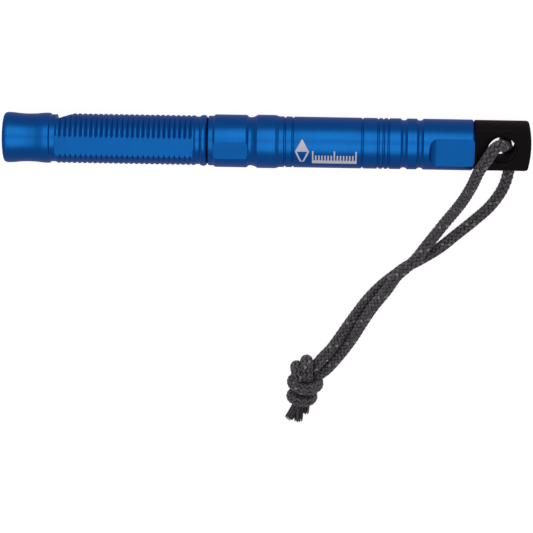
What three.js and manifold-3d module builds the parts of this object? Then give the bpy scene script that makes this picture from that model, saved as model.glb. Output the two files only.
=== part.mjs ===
// A pocket survival tool: a turned aluminium whistle that screws onto a fire-starter tube,
// with a fire-steel rod on a pull-out plastic handle and a knotted lanyard cord.
//
// Millimetres, +Z up. The tool lies on its side on a table: +X runs along its axis from the
// mouthpiece to the lanyard handle, its wrench flats face straight up and straight down, and
// the origin is on the table below the middle of its length. Turned parts are drawn as
// [x, radius] profiles with x measured from the mouth end, and moved into place as a group.

import * as THREE from 'three';
import { mergeVertices } from 'three/addons/utils/BufferGeometryUtils.js';
import Module from 'manifold-3d';

const wasm = await Module();
wasm.setup();

// ---------- driving dimensions ----------

const LENGTH = 132; // mouth end to the tip of the handle
const FACETS = 24; // sides of every turned part
const CLEARANCE = 0.3; // between pieces that meet

const BAR_RADIUS = 6.35; // half-inch bar, the plain surface of the tube
const RING_RADIUS = 6.67; // the widest ring, which rests on the table
const COLLAR_RADIUS = 6.585;
const FLAT_CUT_WIDTH = 16; // wider than the bar, so each flat is cut right across

const MOUTH_BORE_RADIUS = 4.9;
const CHAMBER_END = 46; // the blind end of the whistle's air chamber
const HEAD_END = 11.75; // the flared mouthpiece
const LAND_RADIUS = 5.91; // the plain land behind it

const RIB_RADIUS = 6.185;
const RIB_DEPTH = 0.33;
const RIB_PITCH = 1.302;
const RIB_COUNT = 27;
const RIB_START = 13.15;
const RIB_END = RIB_START + RIB_COUNT * RIB_PITCH;
const NECK_RADIUS = 5.96;
const BEAD = { from: 49.1, to: 50.65, radius: 6.375 };

const WINDOW = { wall: 13.24, rampEnd: 17.7, depth: 1.55, turn: 113 }; // turn: degrees from +Z to +Y
const FIPPLE = { from: 0.4, to: 13.1, radius: 4.55, windway: 3.3 };

const SPIGOT = { end: 58.15, radius: 4.65 };
const SOCKET = { from: 51.2, to: 59.6, radius: 5.0 };
const SEAM_RING = { inner: 5.02, outer: 5.9, thickness: 0.4 };

const STRIKER = { from: 54.4, to: 63.6, width: 6.4, thickness: 1.5 };

const TUBE_END = 117.7;
const TUBE_BORE_RADIUS = 4.2;
const COLLAR = { from: 52.84, to: 61.1 };
const RING = { from: 63.6, to: 68.15 };
const FINE_GROOVES = [70.53, 72.54, 89.86, 93.78, 95.13, 96.4];
const FINE_GROOVE = { width: 0.6, depth: 0.25 };
const GRIP_GROOVES = [100.2, 104.2];
const GRIP_GROOVE = { width: 1.7, depth: 0.44, points: 5 };

const BARREL_FLAT = { from: 13.1, to: 47.6, height: RIB_RADIUS - 0.56 };
const COLLAR_FLAT = { from: 52.7, to: 61.25, height: COLLAR_RADIUS - 0.4 };
const TAIL_FLAT = { floorFrom: 108.4, height: BAR_RADIUS - 1.17, cutterRadius: 2.35 };

const HANDLE = { from: TUBE_END + CLEARANCE, radius: 6.3, halfThickness: 3.36, endBulge: 0.9 };
const HANDLE_SPIGOT = { from: 108.3, radius: 3.9 };
const LANYARD_HOLE = { at: 124.55, radius: 3.5 };
const ROD = { from: 65.5, to: 118.2, radius: 2.38 };
const ROD_SOCKET = { to: 118.5, radius: 2.66 };
const SPIGOT_GROOVES = [111.2, 115.2];
const SPIGOT_GROOVE = { width: 1.2, floor: 3.2 };
const SPIGOT_RING = { centre: 3.69, section: 0.42 };

const CORD_RADIUS = 1.4;
const CORD_STEPS = 30;
const CORD_SIDES = 8;

// The table is under the lowest facet of the widest ring.
const AXIS_HEIGHT = RING_RADIUS * Math.cos(Math.PI / FACETS);

// The cord is doubled through the handle's hole. Both strands start half way down the hole, in
// table coordinates: one comes up over the handle, the other passes under it, and they cross.
const FRONT_STRAND = [
  [59.35, 0.75, 7.4], [59.3, 0.9, 8.5], [58.75, 1.3, 10], [57.75, 1.95, 11.3],
  [56.4, 1.3, 12.3], [55.28, -0.36, 12.8], [54.09, -2.39, 12.9], [53.1, -4.24, 12.6],
  [52.35, -6.41, 11.9], [51.72, -8.93, 10.5], [50.74, -12.09, 8.6], [49.55, -15.25, 6.9],
  [47.64, -19.61, 4.1], [45.71, -23.21, 2.3], [43.5, -26.53, 2.1], [40.84, -29.68, 3.5],
  [37.9, -33.23, 4.9], [35.69, -35.29, 5.2], [33.53, -37.59, 5.1], [31.12, -41.84, 4.6],
  [29.29, -44.67, 4.2], [27.68, -47.16, 3.9], [24.9, -52.19, 3.5], [22.2, -57.9, 2.1],
  [19.07, -62.72, 2.0], [15.75, -66.55, 2.8], [12.36, -68.76, 3.8],
];
const REAR_STRAND = [
  [59.4, 0.7, 7.1], [59.45, 0.75, 5.6], [59.6, 0.25, 3.85], [60.1, -1.45, 2.1],
  [60.7, -4.1, 1.45], [61.12, -6.91, 1.47], [61.0, -9.67, 1.47], [59.85, -13.99, 1.47],
  [56.9, -18.93, 1.47], [52.99, -23.05, 1.47], [48.77, -26.99, 1.47], [44.38, -31.05, 1.47],
  [39.5, -34.48, 1.47], [35.8, -36.76, 1.47], [33.44, -38.75, 1.47], [29.67, -42.19, 1.47],
  [26.08, -46.48, 1.47], [23.11, -50.98, 1.47], [19.91, -56.11, 1.7], [17.07, -60.35, 2.4],
  [14.25, -63.33, 3.3], [12.07, -66.42, 4.0],
];
const KNOT = { centre: [10.5, -69.8, 4.3], size: [4.9, 7.1, 4.2], turn: -26 };
const FRONT_TAIL = [[9.2, -74.3, 3.0], [7.6, -77.7, 2.3], [6.3, -81.7, 1.8]];
const REAR_TAIL = [[11.0, -74.3, 3.6], [11.4, -77.1, 3.2], [11.5, -79.9, 2.6]];

// ---------- materials ----------

const blueAnodised = new THREE.MeshStandardMaterial({ color: 0x0c5aae, roughness: 0.34, metalness: 0.9 });
const blackNylon = new THREE.MeshStandardMaterial({ color: 0x1c1613, roughness: 0.55, metalness: 0 });
const blackRubber = new THREE.MeshStandardMaterial({ color: 0x141414, roughness: 0.8, metalness: 0 });
const fireSteel = new THREE.MeshStandardMaterial({ color: 0x3a3836, roughness: 0.6, metalness: 0.7 });
const hardSteel = new THREE.MeshStandardMaterial({ color: 0x9a9da0, roughness: 0.35, metalness: 1 });
const charcoalCord = new THREE.MeshStandardMaterial({ color: 0x454446, roughness: 0.9, metalness: 0 });

// ---------- helpers ----------

/** A closed geometry as a solid that can be cut and joined. */
function toSolid(geometry) {
  const bare = geometry.clone();
  bare.deleteAttribute('normal');
  bare.deleteAttribute('uv');
  const merged = mergeVertices(bare);
  const index = merged.index.array;
  const triangles = [];
  for (let i = 0; i < index.length; i += 3) {
    const [a, b, c] = index.slice(i, i + 3);
    if (a !== b && b !== c && c !== a) triangles.push(a, b, c);
  }
  const vertProperties = new Float32Array(merged.getAttribute('position').array);
  const triVerts = new Uint32Array(triangles);
  return new wasm.Manifold(new wasm.Mesh({ numProp: 3, vertProperties, triVerts }));
}

/** A named mesh of a solid. */
function piece(name, solid, material) {
  const { vertProperties, triVerts } = solid.getMesh();
  const geometry = new THREE.BufferGeometry();
  geometry.setAttribute('position', new THREE.BufferAttribute(vertProperties, 3));
  geometry.setIndex(new THREE.BufferAttribute(triVerts, 1));
  geometry.computeVertexNormals();
  const mesh = new THREE.Mesh(geometry, material);
  mesh.name = name;
  return mesh;
}

/** A body turned about X from [x, radius] points, with a facet facing straight down. */
function turned(profile) {
  const points = profile.map(([x, radius]) => new THREE.Vector2(radius, x));
  const geometry = new THREE.LatheGeometry(points, FACETS);
  geometry.rotateZ(-Math.PI / 2);
  geometry.rotateX(Math.PI / FACETS);
  return toSolid(geometry);
}

/** A ring of round section about X. */
function roundRing(x, centre, section) {
  const sides = 8;
  const profile = [];
  for (let i = 0; i <= sides; i += 1) {
    const angle = (-2 * Math.PI * i) / sides;
    profile.push([x + section * Math.cos(angle), centre - section * Math.sin(angle)]);
  }
  return turned(profile.reverse());
}

/** A slab with an outline in the XZ plane, right across Y. */
function slab(outline, width = FLAT_CUT_WIDTH) {
  const geometry = new THREE.ExtrudeGeometry(outline, { depth: width, bevelEnabled: false });
  geometry.rotateX(Math.PI / 2);
  geometry.translate(0, width / 2, 0);
  return toSolid(geometry);
}

/** A rectangle in the XZ plane, as an outline. */
function rectangle(fromX, toX, fromZ, toZ) {
  return new THREE.Shape([
    new THREE.Vector2(fromX, fromZ),
    new THREE.Vector2(toX, fromZ),
    new THREE.Vector2(toX, toZ),
    new THREE.Vector2(fromX, toZ),
  ]);
}

/** The same cut from above and from below. */
function cutBothSides(solid, cutter) {
  return solid.subtract(cutter).subtract(cutter.rotate([180, 0, 0]));
}

/** A pair of flats at a height above and below the axis. */
function cutFlats(solid, { from, to, height }) {
  return cutBothSides(solid, slab(rectangle(from, to, height, height + BAR_RADIUS)));
}

// ---------- whistle ----------

/** The narrow-valleyed grip ribs along the whistle's barrel. */
function ribProfile() {
  const points = [];
  for (let i = 0; i < RIB_COUNT; i += 1) {
    const x = RIB_START + i * RIB_PITCH;
    points.push([x, RIB_RADIUS - RIB_DEPTH]);
    points.push([x + 0.25 * RIB_PITCH, RIB_RADIUS]);
    points.push([x + 0.75 * RIB_PITCH, RIB_RADIUS]);
  }
  return points;
}

/** The waisted mouthpiece, ribbed barrel, bead and threaded spigot, bored from the mouth. */
function whistleBarrel() {
  const solid = turned([
    [CHAMBER_END, 0],
    [CHAMBER_END, MOUTH_BORE_RADIUS],
    [0.4, MOUTH_BORE_RADIUS],
    [0, 5.25],
    [0, 5.6],
    [0.18, 6.02],
    [0.6, 6.27],
    [1.3, 6.345],
    [2.5, 6.27],
    [3.8, 6.12],
    [5.8, 6.01],
    [8.0, 6.065],
    [9.5, 6.225],
    [10.4, 6.29],
    [11.3, 6.29],
    [HEAD_END, 6.1],
    [HEAD_END + 0.15, LAND_RADIUS],
    ...ribProfile(),
    [RIB_END, NECK_RADIUS],
    [BEAD.from, NECK_RADIUS],
    [BEAD.from + 0.35, BEAD.radius - 0.1],
    [BEAD.from + 0.85, BEAD.radius],
    [BEAD.to - 0.25, BEAD.radius - 0.12],
    [BEAD.to, NECK_RADIUS],
    [BEAD.to, SPIGOT.radius],
    [SPIGOT.end - 0.45, SPIGOT.radius],
    [SPIGOT.end, SPIGOT.radius - 0.45],
    [SPIGOT.end, 0],
  ]);
  const slot = slab(
    rectangle(
      STRIKER.from - CLEARANCE,
      SPIGOT.end + 1,
      -STRIKER.thickness / 2 - CLEARANCE,
      STRIKER.thickness / 2 + CLEARANCE,
    ),
    STRIKER.width + 2 * CLEARANCE,
  );
  return cutFlats(solid, BARREL_FLAT).subtract(windowWedge()).subtract(slot);
}

/** The whistle's window: a square wall, then a ramp that rises from the bore. */
function windowWedge() {
  const { wall, rampEnd, depth, turn } = WINDOW;
  const bottom = RIB_RADIUS - depth;
  const outside = RIB_RADIUS + 1;
  const slope = depth / (rampEnd - wall);
  const outline = new THREE.Shape([
    new THREE.Vector2(wall, bottom),
    new THREE.Vector2(wall + (outside - bottom) / slope, outside),
    new THREE.Vector2(wall, outside),
  ]);
  return slab(outline).rotate([-turn, 0, 0]);
}

/** The block in the mouth bore, with a flat that leaves the windway open. */
function fipplePlug() {
  const { from, to, radius, windway } = FIPPLE;
  const plug = turned([[from, 0], [from, radius], [to, radius], [to, 0]]);
  const flat = slab(rectangle(from - 1, to + 1, windway, windway + radius));
  return plug.subtract(flat.rotate([-WINDOW.turn, 0, 0]));
}

/** The flat sealing ring between the bead and the tube. */
function seamRing() {
  const { inner, outer, thickness } = SEAM_RING;
  const middle = (BEAD.to + SOCKET.from) / 2;
  const from = middle - thickness / 2;
  const to = middle + thickness / 2;
  return turned([[from, inner], [from, outer], [to, outer], [to, inner], [from, inner]]);
}

/** The hardened plate in the end of the spigot that strikes the rod. */
function strikerBlade() {
  const { from, to, width, thickness } = STRIKER;
  return slab(rectangle(from, to, -thickness / 2, thickness / 2), width);
}

// ---------- tube ----------

/** A narrow V groove round the tube. */
function fineGroove(x) {
  const { width, depth } = FINE_GROOVE;
  return [
    [x - width / 2, BAR_RADIUS],
    [x, BAR_RADIUS - depth],
    [x + width / 2, BAR_RADIUS],
  ];
}

/** A round-bottomed grip groove, as an arc between its two edges. */
function gripGroove(x) {
  const { width, depth, points } = GRIP_GROOVE;
  const radius = (width * width) / (8 * depth) + depth / 2;
  const reach = Math.asin(width / (2 * radius));
  const arc = [];
  for (let i = 0; i < points; i += 1) {
    const angle = -reach + (2 * reach * i) / (points - 1);
    const rise = radius - radius * Math.cos(angle);
    arc.push([x + radius * Math.sin(angle), BAR_RADIUS - depth + rise]);
  }
  return arc;
}

/** The cutter for a tail flat: a flat floor that runs out in a scoop. */
function tailCutter() {
  const { floorFrom, height, cutterRadius } = TAIL_FLAT;
  const outline = new THREE.Shape();
  outline.moveTo(TUBE_END + 1, height);
  outline.lineTo(TUBE_END + 1, height + cutterRadius);
  outline.lineTo(floorFrom - cutterRadius, height + cutterRadius);
  outline.absarc(floorFrom, height + cutterRadius, cutterRadius, Math.PI, 1.5 * Math.PI, false);
  return slab(outline);
}

/** The tube: threaded socket, collar, rings and grooves, and the flatted tail. */
function mainTube() {
  const solid = turned([
    [SOCKET.from, SOCKET.radius],
    [SOCKET.from, 5.8],
    [SOCKET.from + 0.3, 6.225],
    [COLLAR.from - 0.2, 6.225],
    [COLLAR.from, 6.35],
    [COLLAR.from + 0.25, COLLAR_RADIUS],
    [COLLAR.to - 0.25, COLLAR_RADIUS],
    [COLLAR.to, 6.35],
    [61.6, 6.08],
    [61.9, 6.035],
    [62.4, 6.1],
    [RING.from - 0.15, 6.48],
    [RING.from, RING_RADIUS],
    [RING.to, RING_RADIUS],
    [69.1, BAR_RADIUS],
    ...FINE_GROOVES.flatMap(fineGroove),
    ...GRIP_GROOVES.flatMap(gripGroove),
    [TUBE_END - 0.45, BAR_RADIUS],
    [TUBE_END, BAR_RADIUS - 0.45],
    [TUBE_END, TUBE_BORE_RADIUS],
    [SOCKET.to, TUBE_BORE_RADIUS],
    [SOCKET.to, SOCKET.radius],
    [SOCKET.from, SOCKET.radius],
  ]);
  return cutBothSides(cutFlats(solid, COLLAR_FLAT), tailCutter());
}

// ---------- fire-steel handle ----------

/** The black handle: a sealed spigot that holds the rod, and a flat plate with a lanyard hole. */
function rodHandle() {
  const { from, radius, halfThickness, endBulge } = HANDLE;
  const { width, floor } = SPIGOT_GROOVE;
  const grooves = SPIGOT_GROOVES.flatMap((x) => [
    [x - width / 2, HANDLE_SPIGOT.radius],
    [x - width / 2, floor],
    [x + width / 2, floor],
    [x + width / 2, HANDLE_SPIGOT.radius],
  ]);
  const solid = turned([
    [ROD_SOCKET.to, 0],
    [ROD_SOCKET.to, ROD_SOCKET.radius],
    [HANDLE_SPIGOT.from, ROD_SOCKET.radius],
    [HANDLE_SPIGOT.from, HANDLE_SPIGOT.radius - 0.3],
    [HANDLE_SPIGOT.from + 0.3, HANDLE_SPIGOT.radius],
    ...grooves,
    [from, HANDLE_SPIGOT.radius],
    [from, radius - 0.2],
    [from + 0.2, radius],
    [LENGTH - endBulge - 0.4, radius],
    [LENGTH - endBulge, radius - 0.2],
    [LENGTH - 0.65, radius - 0.8],
    [LENGTH - 0.33, radius - 2.4],
    [LENGTH - 0.1, 2.1],
    [LENGTH, 0],
  ]);
  const above = rectangle(from - 0.01, LENGTH + 1, halfThickness, halfThickness + radius);
  const drill = new THREE.CylinderGeometry(LANYARD_HOLE.radius, LANYARD_HOLE.radius, 4 * radius, 32);
  drill.rotateX(Math.PI / 2);
  drill.translate(LANYARD_HOLE.at, 0, 0);
  return cutBothSides(solid, slab(above)).subtract(toSolid(drill));
}

/** The fire-steel rod. */
function ferroRod() {
  const { from, to, radius } = ROD;
  return turned([
    [from, 0],
    [from, radius - 0.3],
    [from + 0.3, radius],
    [to, radius],
    [to, 0],
  ]);
}

// ---------- lanyard ----------

/** A plain tube along a route. */
function cordTube(route, steps) {
  const corners = [];
  for (let i = 0; i < CORD_SIDES; i += 1) {
    const angle = (2 * Math.PI * i) / CORD_SIDES;
    corners.push(new THREE.Vector2(CORD_RADIUS * Math.cos(angle), CORD_RADIUS * Math.sin(angle)));
  }
  const points = route.map(([x, y, z]) => new THREE.Vector3(x, y, z));
  const extrudePath = new THREE.CatmullRomCurve3(points, false, 'centripetal');
  const options = { steps, extrudePath, bevelEnabled: false };
  return toSolid(new THREE.ExtrudeGeometry(new THREE.Shape(corners), options));
}

/** The knot's outer shape, grown by a margin. */
function knotSolid(margin = 0) {
  const [x, y, z] = KNOT.centre;
  const [a, b, c] = KNOT.size;
  const geometry = new THREE.SphereGeometry(1, 24, 12);
  geometry.scale(a + margin, b + margin, c + margin);
  geometry.rotateZ(THREE.MathUtils.degToRad(KNOT.turn));
  geometry.translate(x, y, z);
  return toSolid(geometry);
}

/** A strand or tail, cut back to the face of the knot. */
function strand(route, steps) {
  return cordTube(route, steps).subtract(knotSolid(CLEARANCE));
}

// ---------- the assembly ----------

const tool = new THREE.Group();
tool.position.set(-LENGTH / 2, 0, AXIS_HEIGHT);
tool.add(
  piece('whistle_barrel', whistleBarrel(), blueAnodised),
  piece('fipple_plug', fipplePlug(), blackNylon),
  piece('seam_ring', seamRing(), blackRubber),
  piece('striker_blade', strikerBlade(), hardSteel),
  piece('main_tube', mainTube(), blueAnodised),
  piece('rod_handle', rodHandle(), blackNylon),
  piece('ferro_rod', ferroRod(), fireSteel),
);
SPIGOT_GROOVES.forEach((x, i) => {
  const ring = roundRing(x, SPIGOT_RING.centre, SPIGOT_RING.section);
  tool.add(piece(`spigot_ring_${i + 1}`, ring, blackRubber));
});

const lanyard = new THREE.Group();
lanyard.add(
  piece('cord_front_strand', strand(FRONT_STRAND, CORD_STEPS), charcoalCord),
  piece('cord_rear_strand', strand(REAR_STRAND, CORD_STEPS), charcoalCord),
  piece('lanyard_knot', knotSolid(), charcoalCord),
  piece('cord_front_tail', strand(FRONT_TAIL, 3), charcoalCord),
  piece('cord_rear_tail', strand(REAR_TAIL, 3), charcoalCord),
);

const survivalTool = new THREE.Group();
survivalTool.add(tool, lanyard);

export default survivalTool;
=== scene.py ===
import logging
import math
import random
from dataclasses import dataclass
from enum import Enum

import bmesh
import bpy
import numpy as np
from mathutils import Matrix, Vector


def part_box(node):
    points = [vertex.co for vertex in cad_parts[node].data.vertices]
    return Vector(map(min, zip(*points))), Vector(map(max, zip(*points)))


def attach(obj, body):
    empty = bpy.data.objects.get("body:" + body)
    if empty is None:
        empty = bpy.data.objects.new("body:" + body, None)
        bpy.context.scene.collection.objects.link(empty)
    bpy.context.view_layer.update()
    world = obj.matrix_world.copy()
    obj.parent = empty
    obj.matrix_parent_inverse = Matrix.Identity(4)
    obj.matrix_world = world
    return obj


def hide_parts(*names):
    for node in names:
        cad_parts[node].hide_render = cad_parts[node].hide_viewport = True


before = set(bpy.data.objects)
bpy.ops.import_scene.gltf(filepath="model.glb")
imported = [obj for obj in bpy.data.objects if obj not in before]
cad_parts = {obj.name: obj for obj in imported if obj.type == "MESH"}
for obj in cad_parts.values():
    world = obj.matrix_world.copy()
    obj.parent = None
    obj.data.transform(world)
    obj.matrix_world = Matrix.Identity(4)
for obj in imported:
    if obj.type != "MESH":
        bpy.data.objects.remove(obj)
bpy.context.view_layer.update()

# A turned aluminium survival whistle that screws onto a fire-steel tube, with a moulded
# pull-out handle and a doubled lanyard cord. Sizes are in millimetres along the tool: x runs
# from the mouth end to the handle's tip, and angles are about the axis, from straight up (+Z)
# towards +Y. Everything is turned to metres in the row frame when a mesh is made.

LOG = logging.getLogger("survival_whistle")

MM = 0.001
ROUND = 144  # sides of a turned surface
ON_AXIS = 1e-6  # a ring smaller than this is one point on the axis
LEAST_BREAK = 0.004  # a corner with less room than this stays sharp
REACH = 9.0  # half the width of a cutter that goes right across the tool
MILLED = 0.99999  # a milled face's normal is at least this square to its flat
MOUTH_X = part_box("whistle_barrel")[0][0]  # the mouth end, in the row frame
TIP_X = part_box("rod_handle")[1][0]  # the handle's tip
AXIS_Z = (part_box("main_tube")[0][2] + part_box("main_tube")[1][2]) / 2  # the tool's axis
SIDEWAYS = (0.31, 0.22, 0.92)  # a direction in which no cord starts
LENGTH = (TIP_X - MOUTH_X) / MM

Profile = list[tuple[float, float]]
Route = list[tuple[float, float, float]]


class Slot(Enum):
    """The record's material slots."""

    BLUE = "blue_anodised"
    NYLON = "black_nylon"
    RUBBER = "black_rubber"
    STEEL = "hard_steel"
    FERRO = "fire_steel"
    CORD = "charcoal_cord"


class Body(Enum):
    """The bodies of the tool that move on their own."""

    TUBE = "tube"
    SEAL = "seal"
    WHISTLE = "whistle"
    ROD_SEALS = "rod_seals"
    HANDLE = "handle"


# ---------------------------------------------------------------- colours and nodes


def linear(hex_colour: str) -> tuple[float, float, float, float]:
    """Turn an sRGB hex colour to linear light.

    Args:
        hex_colour: Six hex digits, such as "1C5FB0".

    Returns:
        Red, green, blue and an alpha of 1.
    """
    parts = [int(hex_colour[i : i + 2], 16) / 255 for i in (0, 2, 4)]
    light = [p / 12.92 if p <= 0.04045 else ((p + 0.055) / 1.055) ** 2.4 for p in parts]
    return (light[0], light[1], light[2], 1.0)


def add_node(tree: bpy.types.NodeTree, kind: str, links: dict | None = None, **settings) -> bpy.types.Node:
    """Add a node, set it and link its inputs.

    Args:
        tree: The node tree it goes in.
        kind: The node's type name.
        links: Input name or number to the output socket that feeds it, or to a plain value.
        settings: Attributes of the node itself.

    Returns:
        The new node.
    """
    node = tree.nodes.new(kind)
    for name, value in settings.items():
        setattr(node, name, value)
    for name, source in (links or {}).items():
        if isinstance(source, bpy.types.NodeSocket):
            tree.links.new(source, node.inputs[name])
        else:
            node.inputs[name].default_value = source
    return node


def new_material(name: str) -> tuple[bpy.types.Material, bpy.types.NodeTree, bpy.types.Node]:
    """Start a material with one Principled shader.

    Args:
        name: The material's name.

    Returns:
        The material, its node tree and the shader node.
    """
    material = bpy.data.materials.new(name)
    material.use_nodes = True
    tree = material.node_tree
    tree.nodes.clear()
    shader = add_node(tree, "ShaderNodeBsdfPrincipled")
    add_node(tree, "ShaderNodeOutputMaterial", {"Surface": shader.outputs["BSDF"]})
    return material, tree, shader


def in_cells(
    tree: bpy.types.NodeTree, cell: float, along: float = 1.0, across: float = 1.0
) -> bpy.types.NodeSocket:
    """Give the object's own coordinates, counted in cells of a pattern.

    Args:
        tree: The material's node tree.
        cell: The size of a cell, in metres.
        along: How many patches of the pattern a cell holds along the tool.
        across: How many it holds across the tool and up.

    Returns:
        The scaled coordinates.
    """
    scale = (along / cell, across / cell, across / cell)
    place = add_node(tree, "ShaderNodeTexCoord").outputs["Object"]
    return add_node(tree, "ShaderNodeMapping", {"Vector": place, "Scale": scale}).outputs["Vector"]


# ---------------------------------------------------------------- finishes


@dataclass(frozen=True)
class AnodisedAluminium:
    """Turned aluminium bar, blasted lightly and dyed blue by anodising.

    The metal shines through the dyed oxide, so reflections are blue and satin. Fine turning
    lines run round the bar, and crests that are handled are a little paler.
    """

    name: str = "blue anodised aluminium"
    dye: str = "0E6CB4"
    dye_deep: str = "0C67AD"
    rubbed: str = "1473BB"
    roughness: float = 0.36
    line_spacing: float = 0.12 * MM  # turning lines, twice as coarse as the tool's feed, so they show
    line_stretch: float = 0.01  # patches to a cell round the bar, so that the lines run round it
    cloud: float = 3.846 * MM  # a patch of slightly deeper dye
    rubbed_from: float = 6.15 * MM  # the radius where hands start to rub the dye
    rubbed_to: float = 6.7 * MM
    rubbed_share: float = 0.35

    def material(self) -> bpy.types.Material:
        """Make the material.

        Returns:
            The anodised finish.
        """
        material, tree, shader = new_material(self.name)
        shader.inputs["Metallic"].default_value = 1.0
        shader.inputs["Coat Weight"].default_value = 0.08
        shader.inputs["Coat Roughness"].default_value = 0.3
        feed = in_cells(tree, self.line_spacing, across=self.line_stretch)
        lines = add_node(
            tree, "ShaderNodeTexNoise", {"Vector": feed, "Scale": 1.0, "Detail": 2.0}
        ).outputs["Fac"]
        bath = in_cells(tree, self.cloud)
        cloud = add_node(
            tree, "ShaderNodeTexNoise", {"Vector": bath, "Scale": 1.0, "Detail": 3.0}
        ).outputs["Fac"]
        colour = add_node(
            tree,
            "ShaderNodeMix",
            {"Factor": cloud, "A": linear(self.dye_deep), "B": linear(self.dye)},
            data_type="RGBA",
        ).outputs["Result"]
        worn = add_node(
            tree,
            "ShaderNodeMix",
            {"Factor": self.crest_share(tree), "A": colour, "B": linear(self.rubbed)},
            data_type="RGBA",
        ).outputs["Result"]
        tree.links.new(worn, shader.inputs["Base Color"])
        roughness = add_node(
            tree,
            "ShaderNodeMapRange",
            {
                "Value": lines,
                "From Min": 0.3,
                "From Max": 0.7,
                "To Min": self.roughness - 0.03,
                "To Max": self.roughness + 0.05,
            },
        ).outputs["Result"]
        tree.links.new(roughness, shader.inputs["Roughness"])
        bump = add_node(
            tree, "ShaderNodeBump", {"Height": lines, "Strength": 0.16, "Distance": 0.01 * MM}
        ).outputs["Normal"]
        tree.links.new(bump, shader.inputs["Normal"])
        return material

    def crest_share(self, tree: bpy.types.NodeTree) -> bpy.types.NodeSocket:
        """Say how much a point is rubbed: not at all in a groove, most on the widest rings.

        Args:
            tree: The material's node tree.

        Returns:
            The share of the rubbed colour there.
        """
        place = add_node(tree, "ShaderNodeTexCoord").outputs["Object"]
        split = add_node(tree, "ShaderNodeSeparateXYZ", {"Vector": place})
        height = add_node(
            tree, "ShaderNodeMath", {0: split.outputs["Z"], 1: AXIS_Z}, operation="SUBTRACT"
        ).outputs["Value"]
        flat = add_node(tree, "ShaderNodeCombineXYZ", {"X": 0.0, "Y": split.outputs["Y"], "Z": height})
        radius = add_node(
            tree, "ShaderNodeVectorMath", {0: flat.outputs["Vector"]}, operation="LENGTH"
        ).outputs["Value"]
        return add_node(
            tree,
            "ShaderNodeMapRange",
            {
                "Value": radius,
                "From Min": self.rubbed_from,
                "From Max": self.rubbed_to,
                "To Min": 0.0,
                "To Max": self.rubbed_share,
            },
        ).outputs["Result"]


@dataclass(frozen=True)
class MouldedNylon:
    """Black glass-filled nylon, injection moulded in a spark-textured mould.

    The fine texture gives a soft dark sheen with no clear reflections.
    """

    name: str = "black moulded nylon"
    resin: str = "0C0A07"
    resin_worn: str = "110E0A"
    roughness: float = 0.52
    grain: float = 0.16 * MM  # the spark texture, a little coarser than real, so it shows
    patch: float = 5.556 * MM  # where handling has polished it

    def material(self) -> bpy.types.Material:
        """Make the material.

        Returns:
            The moulded finish.
        """
        material, tree, shader = new_material(self.name)
        shader.inputs["Specular IOR Level"].default_value = 0.09
        spark = in_cells(tree, self.grain)
        grain = add_node(
            tree, "ShaderNodeTexNoise", {"Vector": spark, "Scale": 1.0, "Detail": 2.0}
        ).outputs["Fac"]
        touch = in_cells(tree, self.patch)
        patches = add_node(
            tree, "ShaderNodeTexNoise", {"Vector": touch, "Scale": 1.0, "Detail": 4.0}
        ).outputs["Fac"]
        colour = add_node(
            tree,
            "ShaderNodeMix",
            {"Factor": patches, "A": linear(self.resin), "B": linear(self.resin_worn)},
            data_type="RGBA",
        ).outputs["Result"]
        tree.links.new(colour, shader.inputs["Base Color"])
        roughness = add_node(
            tree,
            "ShaderNodeMapRange",
            {"Value": patches, "To Min": self.roughness - 0.06, "To Max": self.roughness + 0.08},
        ).outputs["Result"]
        tree.links.new(roughness, shader.inputs["Roughness"])
        bump = add_node(
            tree, "ShaderNodeBump", {"Height": grain, "Strength": 0.35, "Distance": 0.02 * MM}
        ).outputs["Normal"]
        tree.links.new(bump, shader.inputs["Normal"])
        return material


@dataclass(frozen=True)
class NitrileRubber:
    """Black nitrile seal rings, greased, so they are dark with a dull wet sheen."""

    name: str = "black nitrile rubber"
    colour: str = "121212"
    colour_dusty: str = "1E1D1C"
    speck: float = 1.111 * MM

    def material(self) -> bpy.types.Material:
        """Make the material.

        Returns:
            The rubber finish.
        """
        material, tree, shader = new_material(self.name)
        place = in_cells(tree, self.speck)
        dust = add_node(
            tree, "ShaderNodeTexNoise", {"Vector": place, "Scale": 1.0, "Detail": 3.0}
        ).outputs["Fac"]
        colour = add_node(
            tree,
            "ShaderNodeMix",
            {"Factor": dust, "A": linear(self.colour), "B": linear(self.colour_dusty)},
            data_type="RGBA",
        ).outputs["Result"]
        tree.links.new(colour, shader.inputs["Base Color"])
        roughness = add_node(
            tree, "ShaderNodeMapRange", {"Value": dust, "To Min": 0.4, "To Max": 0.6}
        ).outputs["Result"]
        tree.links.new(roughness, shader.inputs["Roughness"])
        return material


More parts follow.
